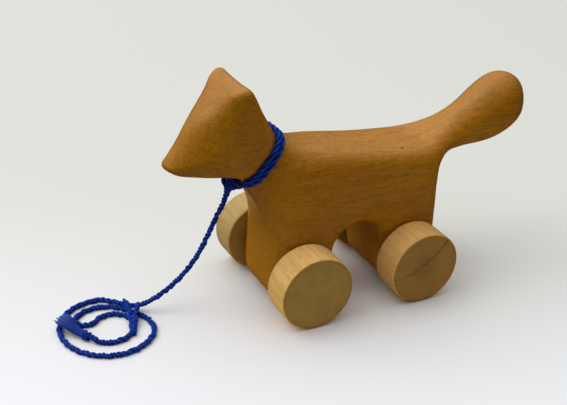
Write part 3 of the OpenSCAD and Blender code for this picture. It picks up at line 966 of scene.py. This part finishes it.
@dataclass
class CarvedBody:
    """One-piece carved body: ribs join the two outlines, rounded over towards them, sanded and drilled."""

    outline: Outline
    spacing: float = 1.1
    edge_points: int = 15
    middle_points: int = 10
    strip_points: int = 7
    least_lean: float = 0.22
    most_reach: float = 0.46
    most_round: float = 0.95
    smoothing: int = 6
    grain: float = 0.0009
    rounds: int = 10
    at_once: int = 1500
    worn_rounds: int = 420
    bore_r: float = 4.08
    bore_sides: int = 64
    finish: OiledBeech = field(default_factory=OiledBeech)

    def ribs(self) -> tuple[np.ndarray, np.ndarray, np.ndarray, np.ndarray]:
        """Pair points of the two outlines, station by station.

        A mark is a share of the upper outline's length with a run of the lower outline and a point on it.

        Returns:
            Upper points, lower points and the closed outline, all as (x, z), and the outline's cut.
        """
        upper, runs = self.outline.upper(), self.outline.lower_runs()
        lower = np.vstack(runs)
        firsts = np.concatenate([[0], np.cumsum([len(run) for run in runs])[:-1]])
        n = self.outline.steps
        marks = [
            (0, 0, 0), (0.055, 0, 2 * n), (0.14, 0, 3 * n), (0.19, 0, 4 * n), (0.262, 0, 5 * n),
            (0.3, 0, 6 * n), (0.325, 0, 7 * n), (0.34, 0, 10 * n), (0.352, 1, n), (0.395, 2, 0),
            (0.405, 2, n), (0.425, 3, 0), (0.478, 3, 2 * n), (0.53, 3, 4 * n), (0.55, 4, 0), (0.56, 4, n),
            (0.593, 5, 0), (0.605, 5, n), (0.615, 6, 0), (0.668, 6, 2 * n), (0.715, 6, 4 * n),
            (0.815, 6, 6 * n), (0.895, 6, 8 * n), (1, 6, 10 * n),
        ]
        upper_l, lower_l = running_length(upper), running_length(lower)
        up_at = np.array([share for share, _, _ in marks]) * upper_l[-1]
        low_at = np.array([lower_l[firsts[run] + point] for _, run, point in marks])
        reach = np.maximum(np.diff(up_at), np.diff(low_at))
        steps = np.maximum(2, np.ceil(reach / self.spacing)).astype(int)
        number = np.arange(len(marks))
        stations = np.concatenate([i + np.arange(k) / k for i, k in enumerate(steps)] + [number[-1:]])
        up, low = np.interp(stations, number, up_at), np.interp(stations, number, low_at)
        tops = np.column_stack([np.interp(up, upper_l, column) for column in upper.T])
        bottoms = np.column_stack([np.interp(low, lower_l, column) for column in lower.T])
        cut = np.vstack([self.outline.upper_cut(len(upper)), np.tile([1.0, 0.0], (len(lower), 1))])
        return tops, bottoms, np.vstack([upper, lower[::-1]]), cut

    def places(self, tops: np.ndarray, bottoms: np.ndarray) -> np.ndarray:
        """Shares along each rib, close together within the round-over at both ends.

        Args:
            tops: Upper ends of the ribs.
            bottoms: Lower ends of the ribs.

        Returns:
            One row of shares per rib, 0 at the top.
        """
        rib = bottoms - tops
        length = np.linalg.norm(rib, axis=1)

        def reach(ends: np.ndarray) -> np.ndarray:
            """Share of the rib that the round-over takes at one end.

            Args:
                ends: Ends of the ribs on one outline.

            Returns:
                One share per rib.
            """
            along = np.gradient(ends, axis=0)
            turn = np.abs(rib[:, 0] * along[:, 1] - rib[:, 1] * along[:, 0])
            lean = turn / np.maximum(1e-6, length * np.linalg.norm(along, axis=1))
            lean = np.maximum(self.least_lean, lean)
            return np.minimum(self.most_reach, self.outline.edge_radius(ends) / lean / length)

        first, last = reach(tops)[:, None], reach(bottoms)[:, None]
        share = (np.arange(self.edge_points + 1) / self.edge_points) ** 2
        inner = np.arange(1, self.middle_points) / self.middle_points
        return np.hstack([first * share, first + (1 - first - last) * inner, 1 - last * share[::-1]])

    def to_outline(self, points: np.ndarray, loop: np.ndarray, cut: np.ndarray) -> Pair:
        """Find the outline's nearest segment, with distances counted over the reach factor.

        Args:
            points: Side-view points.
            loop: The closed outline.
            cut: Reach factor and flatness per point of the outline.

        Returns:
            Least distance over the reach factor, and flatness, per point.
        """
        start, step = loop, np.roll(loop, -1, axis=0) - loop
        size = np.maximum((step**2).sum(axis=1), 1e-9)
        plain = points.reshape(-1, 2)
        least, flat = np.empty(len(plain)), np.empty(len(plain))
        for block in np.array_split(np.arange(len(plain)), max(1, len(plain) // self.at_once)):
            off = plain[block, None, :] - start[None]
            t = np.clip((off * step).sum(axis=2) / size, 0.0, 1.0)
            away = np.sqrt(((off - t[..., None] * step) ** 2).sum(axis=2)) / cut[:, 0]
            least[block] = away.min(axis=1)
            flat[block] = cut[away.argmin(axis=1), 1]
        return least.reshape(points.shape[:-1]), flat.reshape(points.shape[:-1])

    def rings(self) -> np.ndarray:
        """Closed rings of points in millimetres: left side, belly strip, right side, back strip.

        A side point's y is w - r + r times the root of 1 - (1 - d)^2, with half width w, round-over r
        and d the distance to the outline over r, at most 1. Where the outline is cut flat,
        1 - (1 - d)^flat_power takes the place of the root.

        Returns:
            One ring of points per station.
        """
        tops, bottoms, loop, cut = self.ribs()
        share = self.places(tops, bottoms)
        p = tops[:, None, :] + (bottoms - tops)[:, None, :] * share[..., None]
        w = self.outline.half_width(p)
        r = np.minimum(self.outline.edge_radius(p), self.most_round * w)
        away, flat = self.to_outline(p, loop, cut)
        d = np.minimum(1.0, away / r)
        d[:, 0] = d[:, -1] = 0.0
        round_over, bevel = np.sqrt(1.0 - (1.0 - d) ** 2), 1.0 - (1.0 - d) ** self.outline.flat_power
        y = w - r + r * blend(round_over, bevel, flat)
        for _ in range(self.smoothing):
            inner = 0.25 * (y[:-2, 4:-4] + y[2:, 4:-4] + y[1:-1, 3:-5] + y[1:-1, 5:-3])
            y[1:-1, 4:-4] += 0.5 * (inner - y[1:-1, 4:-4])
        left = np.stack([p[..., 0], y, p[..., 1]], axis=-1)
        right = left[:, ::-1] * np.array([1.0, -1.0, 1.0])
        f = np.linspace(1.0, -1.0, self.strip_points + 2)[None, 1:-1]
        belly = np.stack([bottoms[:, :1] + 0 * f, y[:, -1:] * f, bottoms[:, 1:] + 0 * f], axis=-1)
        rise = self.outline.crown(tops)[:, None] * (1.0 - f**2)
        back = np.stack([tops[:, :1] + 0 * f, -y[:, :1] * f, tops[:, 1:] + rise], axis=-1)
        return np.concatenate([left, belly, right, back], axis=1)

    def drill(self, piece: bpy.types.Object, x: float) -> None:
        """Cut the bore for an axle through the wood at x.

        Args:
            piece: The body, whose mesh is replaced.
            x: The axle's place.
        """
        n, reach = self.bore_sides, self.outline.body_w
        ring = arc((x, self.outline.axle_h), self.bore_r, 0, 360, n)[:-1]
        ends = np.vstack([np.insert(ring, 1, y, axis=1) for y in (-reach, reach)])
        caps = [np.arange(n), n + np.arange(n)[::-1]]
        bit = mesh_piece("bore", ends * MM, grid_quads(2, n, wrap=True)[:, ::-1], caps)
        cut = piece.modifiers.new("drill", "BOOLEAN")
        cut.operation = "DIFFERENCE"
        cut.solver = "EXACT"
        cut.object = bit
        apply_modifiers(piece)
        bpy.data.objects.remove(bit)

    def build(self) -> bpy.types.Object:
        """Skin the rings from nose to tail, close both ends, sand the wood and drill it.

        Returns:
            The dressed body.
        """
        rings = self.rings() * MM
        rows, columns = rings.shape[:2]
        quads = grid_quads(rows, columns, wrap=True)[:, ::-1]
        caps = [np.arange(columns), (rows - 1) * columns + np.arange(columns)[::-1]]
        piece = mesh_piece("carved_body", rings.reshape(-1, 3), quads, caps)
        share = self.outline.worn(remeshed(piece, self.grain)[:, [0, 2]] / MM)
        sanded(piece, self.worn_rounds, share)
        sanded(piece, self.rounds)
        for x in (self.outline.front_x, self.outline.rear_x):
            self.drill(piece, x)
        return dress(piece, self.finish.build(), Body.TOY, Slot.BODY_WOOD, "body")


@dataclass
class Wheel:
    """Turned wheel with rounded rims and a blind bore towards the body, sizes in millimetres."""

    node: str
    body: Body
    x: float
    side: int
    finish: RawBeech
    radius: float = 20.0
    thick: float = 17.5
    inner_y: float = 23.7
    rim: float = 1.4
    bore: float = 4.02
    bore_depth: float = 12.0
    hub: float = 0.3
    land: float = 0.6
    turns: int = 128

    def profile(self) -> np.ndarray:
        """Half section as (radius, depth from the inner face), from the bore's bottom to the outer face.

        Returns:
            Points of the half section.
        """
        edge, hub = self.radius - self.rim, self.hub
        rims = np.vstack([
            arc((edge, self.rim), self.rim, -90, 0, 8),
            arc((edge, self.thick - self.rim), self.rim, 0, 90, 8),
        ])
        faces = np.linspace(edge - self.land, hub, 9)
        start = [
            [hub, self.bore_depth], [self.bore, self.bore_depth], [self.bore, self.bore_depth - hub],
            [self.bore, hub], [self.bore + hub, 0.0], [edge - self.land, 0.0],
        ]
        return np.vstack([start, rims, np.column_stack([faces, np.full(len(faces), self.thick)])])

    def build(self) -> bpy.types.Object:
        """Turn the profile about the axle.

        Returns:
            The dressed wheel.
        """
        profile = self.profile()
        angle = np.linspace(0.0, 2 * np.pi, self.turns, endpoint=False)[None, :]
        radius, depth = profile[:, :1], profile[:, 1:]
        points = np.stack([
            self.x + radius * np.cos(angle),
            self.side * (self.inner_y + depth) + 0 * angle,
            self.radius + radius * np.sin(angle),
        ], axis=-1)
        rows, columns = points.shape[:2]
        quads = grid_quads(rows, columns, wrap=True)
        caps = [np.arange(columns)[::-1], (rows - 1) * columns + np.arange(columns)]
        if self.side > 0:
            quads, caps = quads[:, ::-1], [cap[::-1] for cap in caps]
        piece = mesh_piece("turned_" + self.node, points.reshape(-1, 3) * MM, quads, caps)
        return dress(piece, self.finish.build(), self.body, Slot.WHEEL_WOOD, self.node)


@dataclass
class CordLay:
    """Section of the twisted cord: plies that turn about its middle line, sizes and waves in millimetres."""

    diameter: float = 2.6
    plies: int = 3
    pitch: float = 6.6
    groove: float = 0.4
    sides: int = 24
    spacing: float = 0.4
    swell: float = 0.09
    swell_waves: tuple[float, float] = (5.3, 19.0)
    sway: float = 0.17
    sway_waves: tuple[float, float] = (7.3, 4.7)
    slack: float = 0.9
    slack_wave: float = 17.0

    def skin(
        self, path: np.ndarray, ref: np.ndarray, scale: np.ndarray | float = 1.0, wear: float = 0.0
    ) -> Pair:
        """Carry the lobed section along a path.

        The radius at an angle is R times (1 - groove + groove times the absolute cosine of half the
        plies times the angle past the twist). Wear sways the path, swells the radius and loosens the
        twist by sines of the length, and the floor flattens what would reach below it.

        Args:
            path: Middle line in millimetres, evenly spaced.
            ref: Direction, or one per point, that is never along the path.
            scale: Factor on the radius, one or per point.
            wear: Share of the full sway and swell.

        Returns:
            Grid of points and its values (along, around).
        """
        length = running_length(path)
        wave = 2 * np.pi * length
        short, long = self.swell_waves
        swell = 1.0 + self.swell * wear * np.sin(wave / short + 2 * np.sin(wave / long))
        scale = np.broadcast_to(scale, len(path)) * swell
        ahead = unit(np.gradient(path, axis=0))
        first = unit(ref - (ahead * ref).sum(axis=1, keepdims=True) * ahead)
        second = np.cross(ahead, first)
        angle = np.linspace(0.0, 2 * np.pi, self.sides, endpoint=False)[None, :]
        one, other = self.sway_waves
        sway = self.sway * wear * (np.sin(wave / one) + np.sin(wave / other + 1.0))
        path = path + sway[:, None] * second
        twist = (wave / self.pitch + self.slack * wear * np.sin(wave / self.slack_wave))[:, None]
        lobe = np.abs(np.cos(0.5 * self.plies * (angle - twist)))
        radius = 0.5 * self.diameter * scale[:, None] * (1 - self.groove + self.groove * lobe)
        points = (path[:, None] + (radius * np.cos(angle))[..., None] * first[:, None]
                  + (radius * np.sin(angle))[..., None] * second[:, None])
        points[..., 2] = np.maximum(points[..., 2], 0.0)
        around = (angle - twist) / (2 * np.pi)
        return points, np.stack([np.broadcast_to(length[:, None] * MM, around.shape), around], axis=-1)

    @staticmethod
    def piece(name: str, *skins: Pair) -> bpy.types.Object:
        """Join skins, closed at both ends, in one piece with the UV map "lay".

        Args:
            name: Name of the piece.
            skins: Grids of points with their values.

        Returns:
            The piece.
        """
        quads, caps, first = [], [], 0
        for points, _ in skins:
            rows, columns = points.shape[:2]
            quads.append(grid_quads(rows, columns, wrap=True) + first)
            caps += [first + np.arange(columns)[::-1], first + (rows - 1) * columns + np.arange(columns)]
            first += rows * columns
        points = np.vstack([points.reshape(-1, 3) for points, _ in skins]) * MM
        lay = np.vstack([values.reshape(-1, 2) for _, values in skins])
        return mesh_piece(name, points, np.vstack(quads), caps, lay)


@dataclass
class CordLead:
    """One blue cord from the collar through the lead and floor loops to its frayed end, in millimetres."""

    outline: Outline
    lay: CordLay = field(default_factory=CordLay)
    # Collar and its knot
    gap: float = 0.5
    seat: float = 0.25
    bite: float = 0.1
    throat_slope: float = 0.15
    square: float = 2.6
    collar_pitch: float = 15.0
    collar_thick: float = 1.12
    collar_wear: float = 0.4
    throat_tuck: float = 2.2
    gather: float = 2.4
    near_l: float = 8.6
    knot_lift: float = 1.5
    knot_half_l: float = 2.2
    knot_straight: float = 3.4
    knot_ease: float = 8.0
    knot_slide: float = 0.2
    throat_knot_size: float = 2.2
    knot_tail: float = 5.6
    tail_thick: float = 0.3
    root_l: float = 6.7
    root_thick: float = 1.4
    root_sides: tuple[float, ...] = (-0.95, -0.4, 0.2, 0.75)
    lead_lean: float = 18.0
    # Shape of both knots
    knot_wide: float = 0.62
    knot_high: float = 0.55
    knot_thick: float = 0.86
    # Lead and loops on the floor, angles in degrees
    lead_thick: float = 1.1
    path_step: float = 4.0
    loops_ahead: float = 96.0
    loop_outer: float = 24.8
    loop_middle: float = 18.5
    loop_inner: float = 14.0
    turn_r: float = 5.3
    squash: float = 0.94
    loop_from: float = 268.0
    loop_to: float = 670.0
    loop_end: float = 32.0
    draw_in: tuple[float, float] = (505.0, 578.0)
    creep_out: tuple[float, float] = (585.0, 665.0)
    wind_out: tuple[float, float] = (312.0, 172.0)
    climb: tuple[float, float] = (26.0, 8.0)
    # Hitch
    hitch_tip: float = 0.5
    hitch_grow: float = 0.58
    hitch_taper: float = 5.0
    # End knot and fringe
    knot_d: float = 5.6
    knot_l: float = 5.0
    end_knot_size: float = 2.6
    tassel_l: float = 15.5
    fringe_in: float = 0.8
    fringe_bend: float = 5.8
    fringe_turn: tuple[float, float] = (3.0, 6.0)
    fringe_rise: float = 2.4
    fringe_w: tuple[float, float] = (1.5, 2.2)
    fringe_h: tuple[float, float] = (1.2, 0.4)
    fringe_drift: float = 0.9
    threads: int = 130
    thread_r: float = 0.24
    thread_taper: float = 0.3
    thread_wave: float = 0.25
    thread_floor: float = 0.3
    thread_steps: int = 22
    thread_sides: int = 6
    seed: int = 7
    golden: float = 2.39996
    twisted: TwistedCotton = field(default_factory=TwistedCotton)
    frayed: FrayedCotton = field(default_factory=FrayedCotton)

    def __post_init__(self) -> None:
        """Work out the values that the pieces share."""
        self.r = self.lay.diameter / 2
        self.pitch = self.lay.diameter + self.gap
        self.lift = self.lay.diameter + self.gap + self.knot_lift
        self.middle = np.array([self.outline.front_x + self.loops_ahead, 0.0])
        zero = np.zeros(1)
        self.knot_mid = self.in_neck(self.down_reach(zero) + self.lift, zero, zero - self.knot_slide)[0]
        lean = math.radians(self.lead_lean)
        self.lead_dir = np.array([math.sin(lean), 0.0, -math.cos(lean)])
        self.loops = self.loops_path()
        self.out_dir = unit((self.loops[-1] - self.loops[-2]) * np.array([1.0, 1.0, 0.0]))

    def down_reach(self, s: np.ndarray) -> np.ndarray:
        """Reach of the collar's middle line towards the throat."""
        return self.outline.neck_half_h + self.seat + self.r - self.bite - self.throat_slope * s

    def side_reach(self, s: np.ndarray) -> np.ndarray:
        """Reach of the collar's middle line to the side."""
        o = self.outline
        return o.half_width(o.neck_mid + s[:, None] * o.neck_dir) + self.seat + self.r

    def in_neck(self, down: np.ndarray, side: np.ndarray, along: np.ndarray) -> np.ndarray:
        """Points from distances towards the throat, to the side and along the neck.

        Args:
            down: Distances towards the throat.
            side: Distances to the left.
            along: Distances towards the head.

        Returns:
            The points.
        """
        o = self.outline
        flat = o.neck_mid + down[:, None] * o.neck_down + along[:, None] * o.neck_dir
        return np.column_stack([flat[:, 0], side, flat[:, 1]])

    def collar_path(self) -> np.ndarray:
        """Two turns on a squared ellipse, tucked back under the far side, both ends lifted to the knot.

        Returns:
            Points of the middle line.
        """
        side_r = self.side_reach(np.zeros(1))[0]
        start = math.degrees(math.asin((self.knot_half_l / side_r) ** (self.square / 2)))
        a = np.linspace(start, 720.0 - start, 1200)
        sine, cosine = np.sin(np.radians(a)), np.cos(np.radians(a))
        tuck = self.throat_tuck * np.maximum(0.0, cosine) ** 2 * ease(0.0, -0.5, sine)
        s = self.pitch * (a / 360.0 - 1.0) - tuck + self.gather * ease(0.35, 0.95, cosine) * (a < 90)
        near = np.minimum(a, 720.0 - a)
        side = np.where(near < 10, self.side_reach(0 * s), self.side_reach(s))
        side = side * np.sign(sine) * np.abs(sine) ** (2 / self.square)
        end = np.where(near < 90, ease(self.knot_ease, self.knot_straight + 0.4, np.abs(side)), 0.0)
        down = np.where(cosine > 0, self.down_reach(s * (1 - end)), self.down_reach(0 * s))
        down = down * np.sign(cosine) * np.abs(cosine) ** (2 / self.square)
        turn = 0.5 * np.pi * end
        slide = self.knot_slide * ease(self.knot_ease - 2, self.knot_straight, np.abs(side)) * end
        path = self.in_neck(down + self.lift * np.sin(turn), side, s * np.cos(turn) - slide)
        free = (a < 90) & (side < self.near_l)
        leave = path[free.sum()]
        path[free] = self.knot_mid + (side[free] / leave[1])[:, None] * (leave - self.knot_mid)
        return path

    def polar(self, radius: np.ndarray, degrees: np.ndarray) -> np.ndarray:
        """Floor points at a radius and an angle about the middle of the loops.

        Args:
            radius: Radii, before the squash along X.
            degrees: Angles in degrees.

        Returns:
            Points at the height of a cord that lies on the floor.
        """
        angle = np.radians(degrees)
        x = self.middle[0] + self.squash * radius * np.cos(angle)
        return np.column_stack([x, self.middle[1] + radius * np.sin(angle), np.full(len(angle), self.r)])

    def loops_path(self) -> np.ndarray:
        """Outer loop laid back in, a turn, and the inner loop the other way up to the end knot.

        Returns:
            Points of the middle line.
        """
        a = np.linspace(self.loop_from, self.loop_to, 240)
        outer_r = self.loop_outer + (self.loop_middle - 1 - self.loop_outer) * ease(*self.draw_in, a)
        outer_r = outer_r + ease(*self.creep_out, a)
        t = self.loop_to + np.linspace(0.0, 180.0, 50)[1:-1]
        mid = self.polar(np.array([self.loop_middle - self.turn_r]), np.array([self.loop_to]))
        turn = mid + self.turn_r * np.column_stack([np.cos(np.radians(t)), np.sin(np.radians(t)), 0 * t])
        c = np.linspace(self.loop_to - 360.0, self.loop_end, 200)
        start_r = self.loop_middle - 2 * self.turn_r
        inner = self.polar(blend(start_r, self.loop_inner, ease(*self.wind_out, c)), c)
        inner[:, 2] += (self.knot_d / 2 - self.r) * ease(*self.climb, c - self.loop_end)
        return np.vstack([self.polar(outer_r, a), turn, inner])

    def lead_path(self) -> np.ndarray:
        """Route of the lead from the collar knot down to the loops, through the part's own points.

        Returns:
            Points of the middle line.
        """
        route = np.array([
            [37.5, -0.2, 52.0], [41.0, -0.7, 43.8], [44.6, -1.3, 35.6], [48.8, -2.2, 27.6],
            [54.0, -3.4, 20.2], [60.4, -4.4, 13.8], [67.6, -5.4, 8.6], [74.0, -7.2, 5.0],
            [79.2, -10.8, 2.8], [82.8, -15.4, 1.8], [86.2, -19.8, 1.4], [90.0, -23.2, 1.3],
        ]) + np.array([self.outline.front_x, 0.0, 0.0])
        leave = self.knot_mid + self.knot_tail * self.lead_dir
        angle = math.radians(self.loop_from)
        ahead = np.array([-math.sin(angle), math.cos(angle), 0.0])
        marks = np.vstack([
            leave, leave + self.lay.diameter * self.lead_dir, route,
            self.loops[0] - self.lay.diameter * ahead, self.loops[0],
        ])
        return spline(marks, 24)

    def knot_skin(self, middle: np.ndarray, axis: np.ndarray, side: np.ndarray, size: float) -> Pair:
        """Overhand knot: a closed three-lobed path about an axis, thick enough to draw tight.

        The path is ((2 + cos 3t) cos 2t, (2 + cos 3t) sin 2t, sin 3t), scaled to the knot's size.

        Args:
            middle: Middle of the knot.
            axis: Direction of the cord through it.
            side: Direction across the axis.
            size: Size of the knot.

        Returns:
            Skin of the knot.
        """
        t = np.linspace(0.0, 2 * np.pi, 160)
        across = np.cross(axis, side)
        reach = (2.0 + np.cos(3 * t)) / 3.0
        path = middle + size * (
            self.knot_wide * (reach * np.cos(2 * t))[:, None] * side
            + self.knot_wide * (reach * np.sin(2 * t))[:, None] * across
            + self.knot_high * np.sin(3 * t)[:, None] * axis
        )
        return self.lay.skin(path, unit(path - middle + 1e-6), self.knot_thick)

    def throat_knot(self) -> bpy.types.Object:
        """Small knot drawn up to the throat, with the thick tail that runs on into the lead.

        Returns:
            The piece, not yet dressed.
        """
        knot = self.knot_skin(self.knot_mid, self.lead_dir, LEFT, self.throat_knot_size)
        t = np.linspace(0.0, 1.0, 24)
        path = self.knot_mid + (t * self.knot_tail)[:, None] * self.lead_dir
        tail = self.lay.skin(path, LEFT, 1.0 + self.tail_thick - self.tail_thick * ease(0.55, 1.0, t))
        ahead, inward = np.insert(self.outline.neck_dir, 1, 0.0), -self.outline.neck_down
        fan = [unit(np.insert(inward, 1, side)) for side in self.root_sides]
        paths = [self.knot_mid + (t * self.root_l)[:, None] * way for way in fan]
        roots = [self.lay.skin(path, ahead, self.root_thick) for path in paths]
        return self.lay.piece("throat_knot", knot, tail, *roots)

    def hitch_skins(self) -> list[Pair]:
        """Two strands of the hitch that binds the loops where the lead meets them, one with a short end.

        Returns:
            One skin per strand.
        """
        over = [
            [86.4, 11.6, 1.5], [84.6, 2.3, 2.4], [82.9, -4.7, 4.2], [82.0, -12.3, 4.2], [81.8, -17.5, 3.2],
        ]
        beside = [
            [76.8, -8.6, 3.4], [79.6, -3.8, 4.2], [82.2, 2.2, 3.0], [85.2, 8.0, 1.6], [87.3, 12.0, 1.4],
        ]
        skins = []
        for marks in (over, beside):
            route = np.array(marks) + np.array([self.outline.front_x, 0.0, 0.0])
            path = evenly(spline(route, 12), self.lay.spacing)
            left = running_length(path)[-1] - running_length(path)
            thick = self.hitch_tip + self.hitch_grow * ease(0.0, self.hitch_taper, left)
            skins.append(self.lay.skin(path, UP, thick, wear=1.0))
        return skins

    def tassel_mesh(self) -> bpy.types.Object:
        """Frayed end: threads that leave the end knot in a bundle, bend and spread over the outer loop.

        The bundle's middle is the part's own bend, (1 - t)^2 A + 2 t (1 - t) B + t^2 C. Thread k keeps a
        sunflower place in the bundle, whose width grows with t.

        Returns:
            The piece, not yet dressed.
        """
        t = np.linspace(0.0, 1.0, self.thread_steps)
        first = self.loops[-1] + (self.knot_l - self.fringe_in) * self.out_dir
        bend = first + self.fringe_bend * self.out_dir
        tip = bend + np.array([self.fringe_turn[0], self.fringe_turn[1] - self.tassel_l, 0.0])
        k = np.arange(self.threads)
        rng = np.random.default_rng(self.seed)
        share = t[None] * (0.92 + 0.1 * rng.random(self.threads))[:, None]
        u = share[..., None]
        middle = (1 - u) ** 2 * first + 2 * u * (1 - u) * bend + u**2 * tip
        middle[..., 2] += self.fringe_rise * ease(0.1, 0.75, share)
        side = unit(np.cross(unit(np.gradient(middle, axis=1)), UP))
        far = np.sqrt((k + 0.5) / self.threads)[:, None]
        angle = (k * self.golden)[:, None]
        wave = self.thread_wave * np.sin(8 * t[None] + 6.3 * rng.random(self.threads)[:, None]) * t[None]
        grown = ease(0.0, 0.9, t)[None] * (0.85 + 0.3 * rng.random(self.threads))[:, None]
        wide, high = (size[0] * self.r + size[1] * grown for size in (self.fringe_w, self.fringe_h))
        sideways = wide * far * np.cos(angle) - self.fringe_drift * grown + wave
        upward = high * far * np.sin(angle)
        path = middle + sideways[..., None] * side + upward[..., None] * UP
        path[..., 2] = np.maximum(path[..., 2], self.thread_floor)
        around = np.linspace(2 * np.pi, 0.0, self.thread_sides, endpoint=False)
        thin = self.thread_r * (1.0 - self.thread_taper * t)[None, :, None, None]
        ring = np.cos(around)[:, None] * side[:, :, None] + np.sin(around)[:, None] * UP
        points = path[:, :, None] + thin * ring
        values = t[None, :, None], rng.random(self.threads)[:, None, None]
        lay = np.stack([np.broadcast_to(value, points.shape[:3]) for value in values], axis=-1)
        return self.lay.piece("frayed_end", *zip(points, lay))

    def build(self) -> list[bpy.types.Object]:
        """Returns:
            The dressed pieces.
        """
        twisted, frayed = self.twisted.build(), self.frayed.build()

        def tied(piece: bpy.types.Object, *nodes: str) -> bpy.types.Object:
            """Dress a twisted piece."""
            return dress(piece, twisted, Body.TOY, Slot.CORD, *nodes)

        drawn = replace(self.lay, pitch=self.collar_pitch)
        neck_dir = np.insert(self.outline.neck_dir, 1, 0.0)
        wound = evenly(self.collar_path(), self.lay.spacing)
        turns = drawn.skin(wound, neck_dir, self.collar_thick, self.collar_wear)
        collar = tied(self.lay.piece("collar_turns", turns), "neck_collar")
        tie = tied(self.throat_knot(), "collar_knot")
        free = np.vstack([self.lead_path()[:-1], self.loops])
        path = evenly(free, self.lay.spacing)
        stretch = self.lay.piece("pull_cord", self.lay.skin(path, UP, self.lead_thick, wear=1.0))
        tied(stretch, "lead_cord", "cord_loops")
        hitch = tied(self.lay.piece("loop_hitch", *self.hitch_skins()))
        knot_mid = self.loops[-1] + 0.5 * self.knot_l * self.out_dir
        stop = self.lay.piece("stopper_knot", self.knot_skin(knot_mid, self.out_dir, UP, self.end_knot_size))
        tied(stop, "end_knot")
        fringe = dress(self.tassel_mesh(), frayed, Body.TOY, Slot.CORD, "tassel")
        return [collar, tie, stretch, hitch, stop, fringe]


@dataclass
class Studio:
    """Pale floor under a broad sky that is bright above and behind the toy, with one soft lamp."""

    floor: PaleFloor = field(default_factory=PaleFloor)
    reach: float = 3.0
    lines: int = 25
    sky_colour: Colour = (1.0, 1.0, 0.985)
    sky_from: Triple = (0.15, -0.3, 0.94)
    sky_low: float = 0.07
    sky_high: float = 1.66
    key_watts: float = 19.0
    key_place: Triple = (1.5, -0.55, 2.0)
    key_aim: Triple = (0.03, 0.0, 0.05)
    key_size: float = 1.8

    def lay_floor(self) -> None:
        """Lay the floor as stage."""
        n = self.lines
        x = np.linspace(-self.reach, self.reach, n)
        points = np.stack([*np.meshgrid(x, x, indexing="ij"), np.zeros((n, n))], axis=-1)
        floor = mesh_piece("floor", points.reshape(-1, 3), grid_quads(n, n, wrap=False)[:, ::-1], [])
        floor.data.materials.append(self.floor.build())

    def hang_lamp(self) -> None:
        """Hang the soft lamp, turned to the toy."""
        lamp = bpy.data.lights.new("key_lamp", "AREA")
        lamp.energy = self.key_watts
        lamp.size = self.key_size
        back = unit(np.array(self.key_place) - np.array(self.key_aim))
        stand("key_lamp", lamp, unit(np.cross(UP, back)), back, self.key_place)

    def light_sky(self) -> None:
        """Brighten the world smoothly towards the sky's brightest direction."""
        g = Graph(bpy.data.worlds.new("broad_sky"))
        brightest = tuple(unit(np.array(self.sky_from)))
        facing = g.vector("DOT_PRODUCT", "Value", g.coords("Generated"), brightest)
        squared = g.maths("POWER", g.maths("MAXIMUM", facing, 0.0), 2.0)
        level = g.node("MapRange", {0: squared, 1: 0.0, 2: 1.0, 3: self.sky_low, 4: self.sky_high})
        ground = g.tree.nodes["Background"].inputs
        g.put(ground["Color"], self.sky_colour)
        g.put(ground["Strength"], level.outputs[0])
        bpy.context.scene.world = g.owner

    def build(self) -> None:
        """Set up floor, lamp and sky."""
        self.lay_floor()
        self.hang_lamp()
        self.light_sky()


def build_wheels(outline: Outline) -> None:
    """Turn the four wheels, each from its own piece of wood; the far front wheel's tread is darkened as
    painted shade.

    Args:
        outline: Side view that gives the places of the axles.
    """
    # Rear wheels in oranger wood; their faces darker than the tread partly as painted shade.
    orange = {"tread": (0.69, 0.40, 0.13), "face": (0.39, 0.20, 0.038)}
    woods_and_shade = {
        "front_left": (-25.0, {}),
        # Far front wheel: its darker tread is painted shade.
        "front_right": (-20.0, {"tread": (0.58, 0.40, 0.148)}),
        "rear_left": (-47.0, {"cracked": True, **orange}),
        "rear_right": (62.0, orange),
    }
    axles = {"front": (outline.front_x, Body.FRONT), "rear": (outline.rear_x, Body.REAR)}
    for place, (slant, looks) in woods_and_shade.items():
        end, side = place.split("_")
        x, body = axles[end]
        wood = RawBeech("beech_" + place, slant, (x * MM, outline.axle_h * MM), **looks)
        wheel = Wheel(place + "_wheel", body, x, 1 if side == "left" else -1, wood)
        LOG.info("wheel %s", wheel.build().name)


def main() -> None:
    """Build the toy, its cord and the studio."""
    logging.basicConfig(level=logging.INFO, format="%(name)s: %(message)s")
    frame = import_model()
    bpy.context.scene.view_settings.view_transform = "Standard"
    PhotoCamera().build()
    outline = Outline()
    for piece in CordLead(outline).build():
        LOG.info("cord piece %s", piece.name)
    LOG.info("body %s", CarvedBody(outline).build().name)
    build_wheels(outline)
    dowel = RawBeech("beech_dowel", 90.0, (0.0, outline.axle_h * MM)).build()
    for name in ("front_axle", "rear_axle"):
        slots = frame["nodes"][name].data.materials
        slots.clear()
        slots.append(dowel)
        LOG.info("axle %s", name)
    Studio().build()


if __name__ == "__main__":
    main()
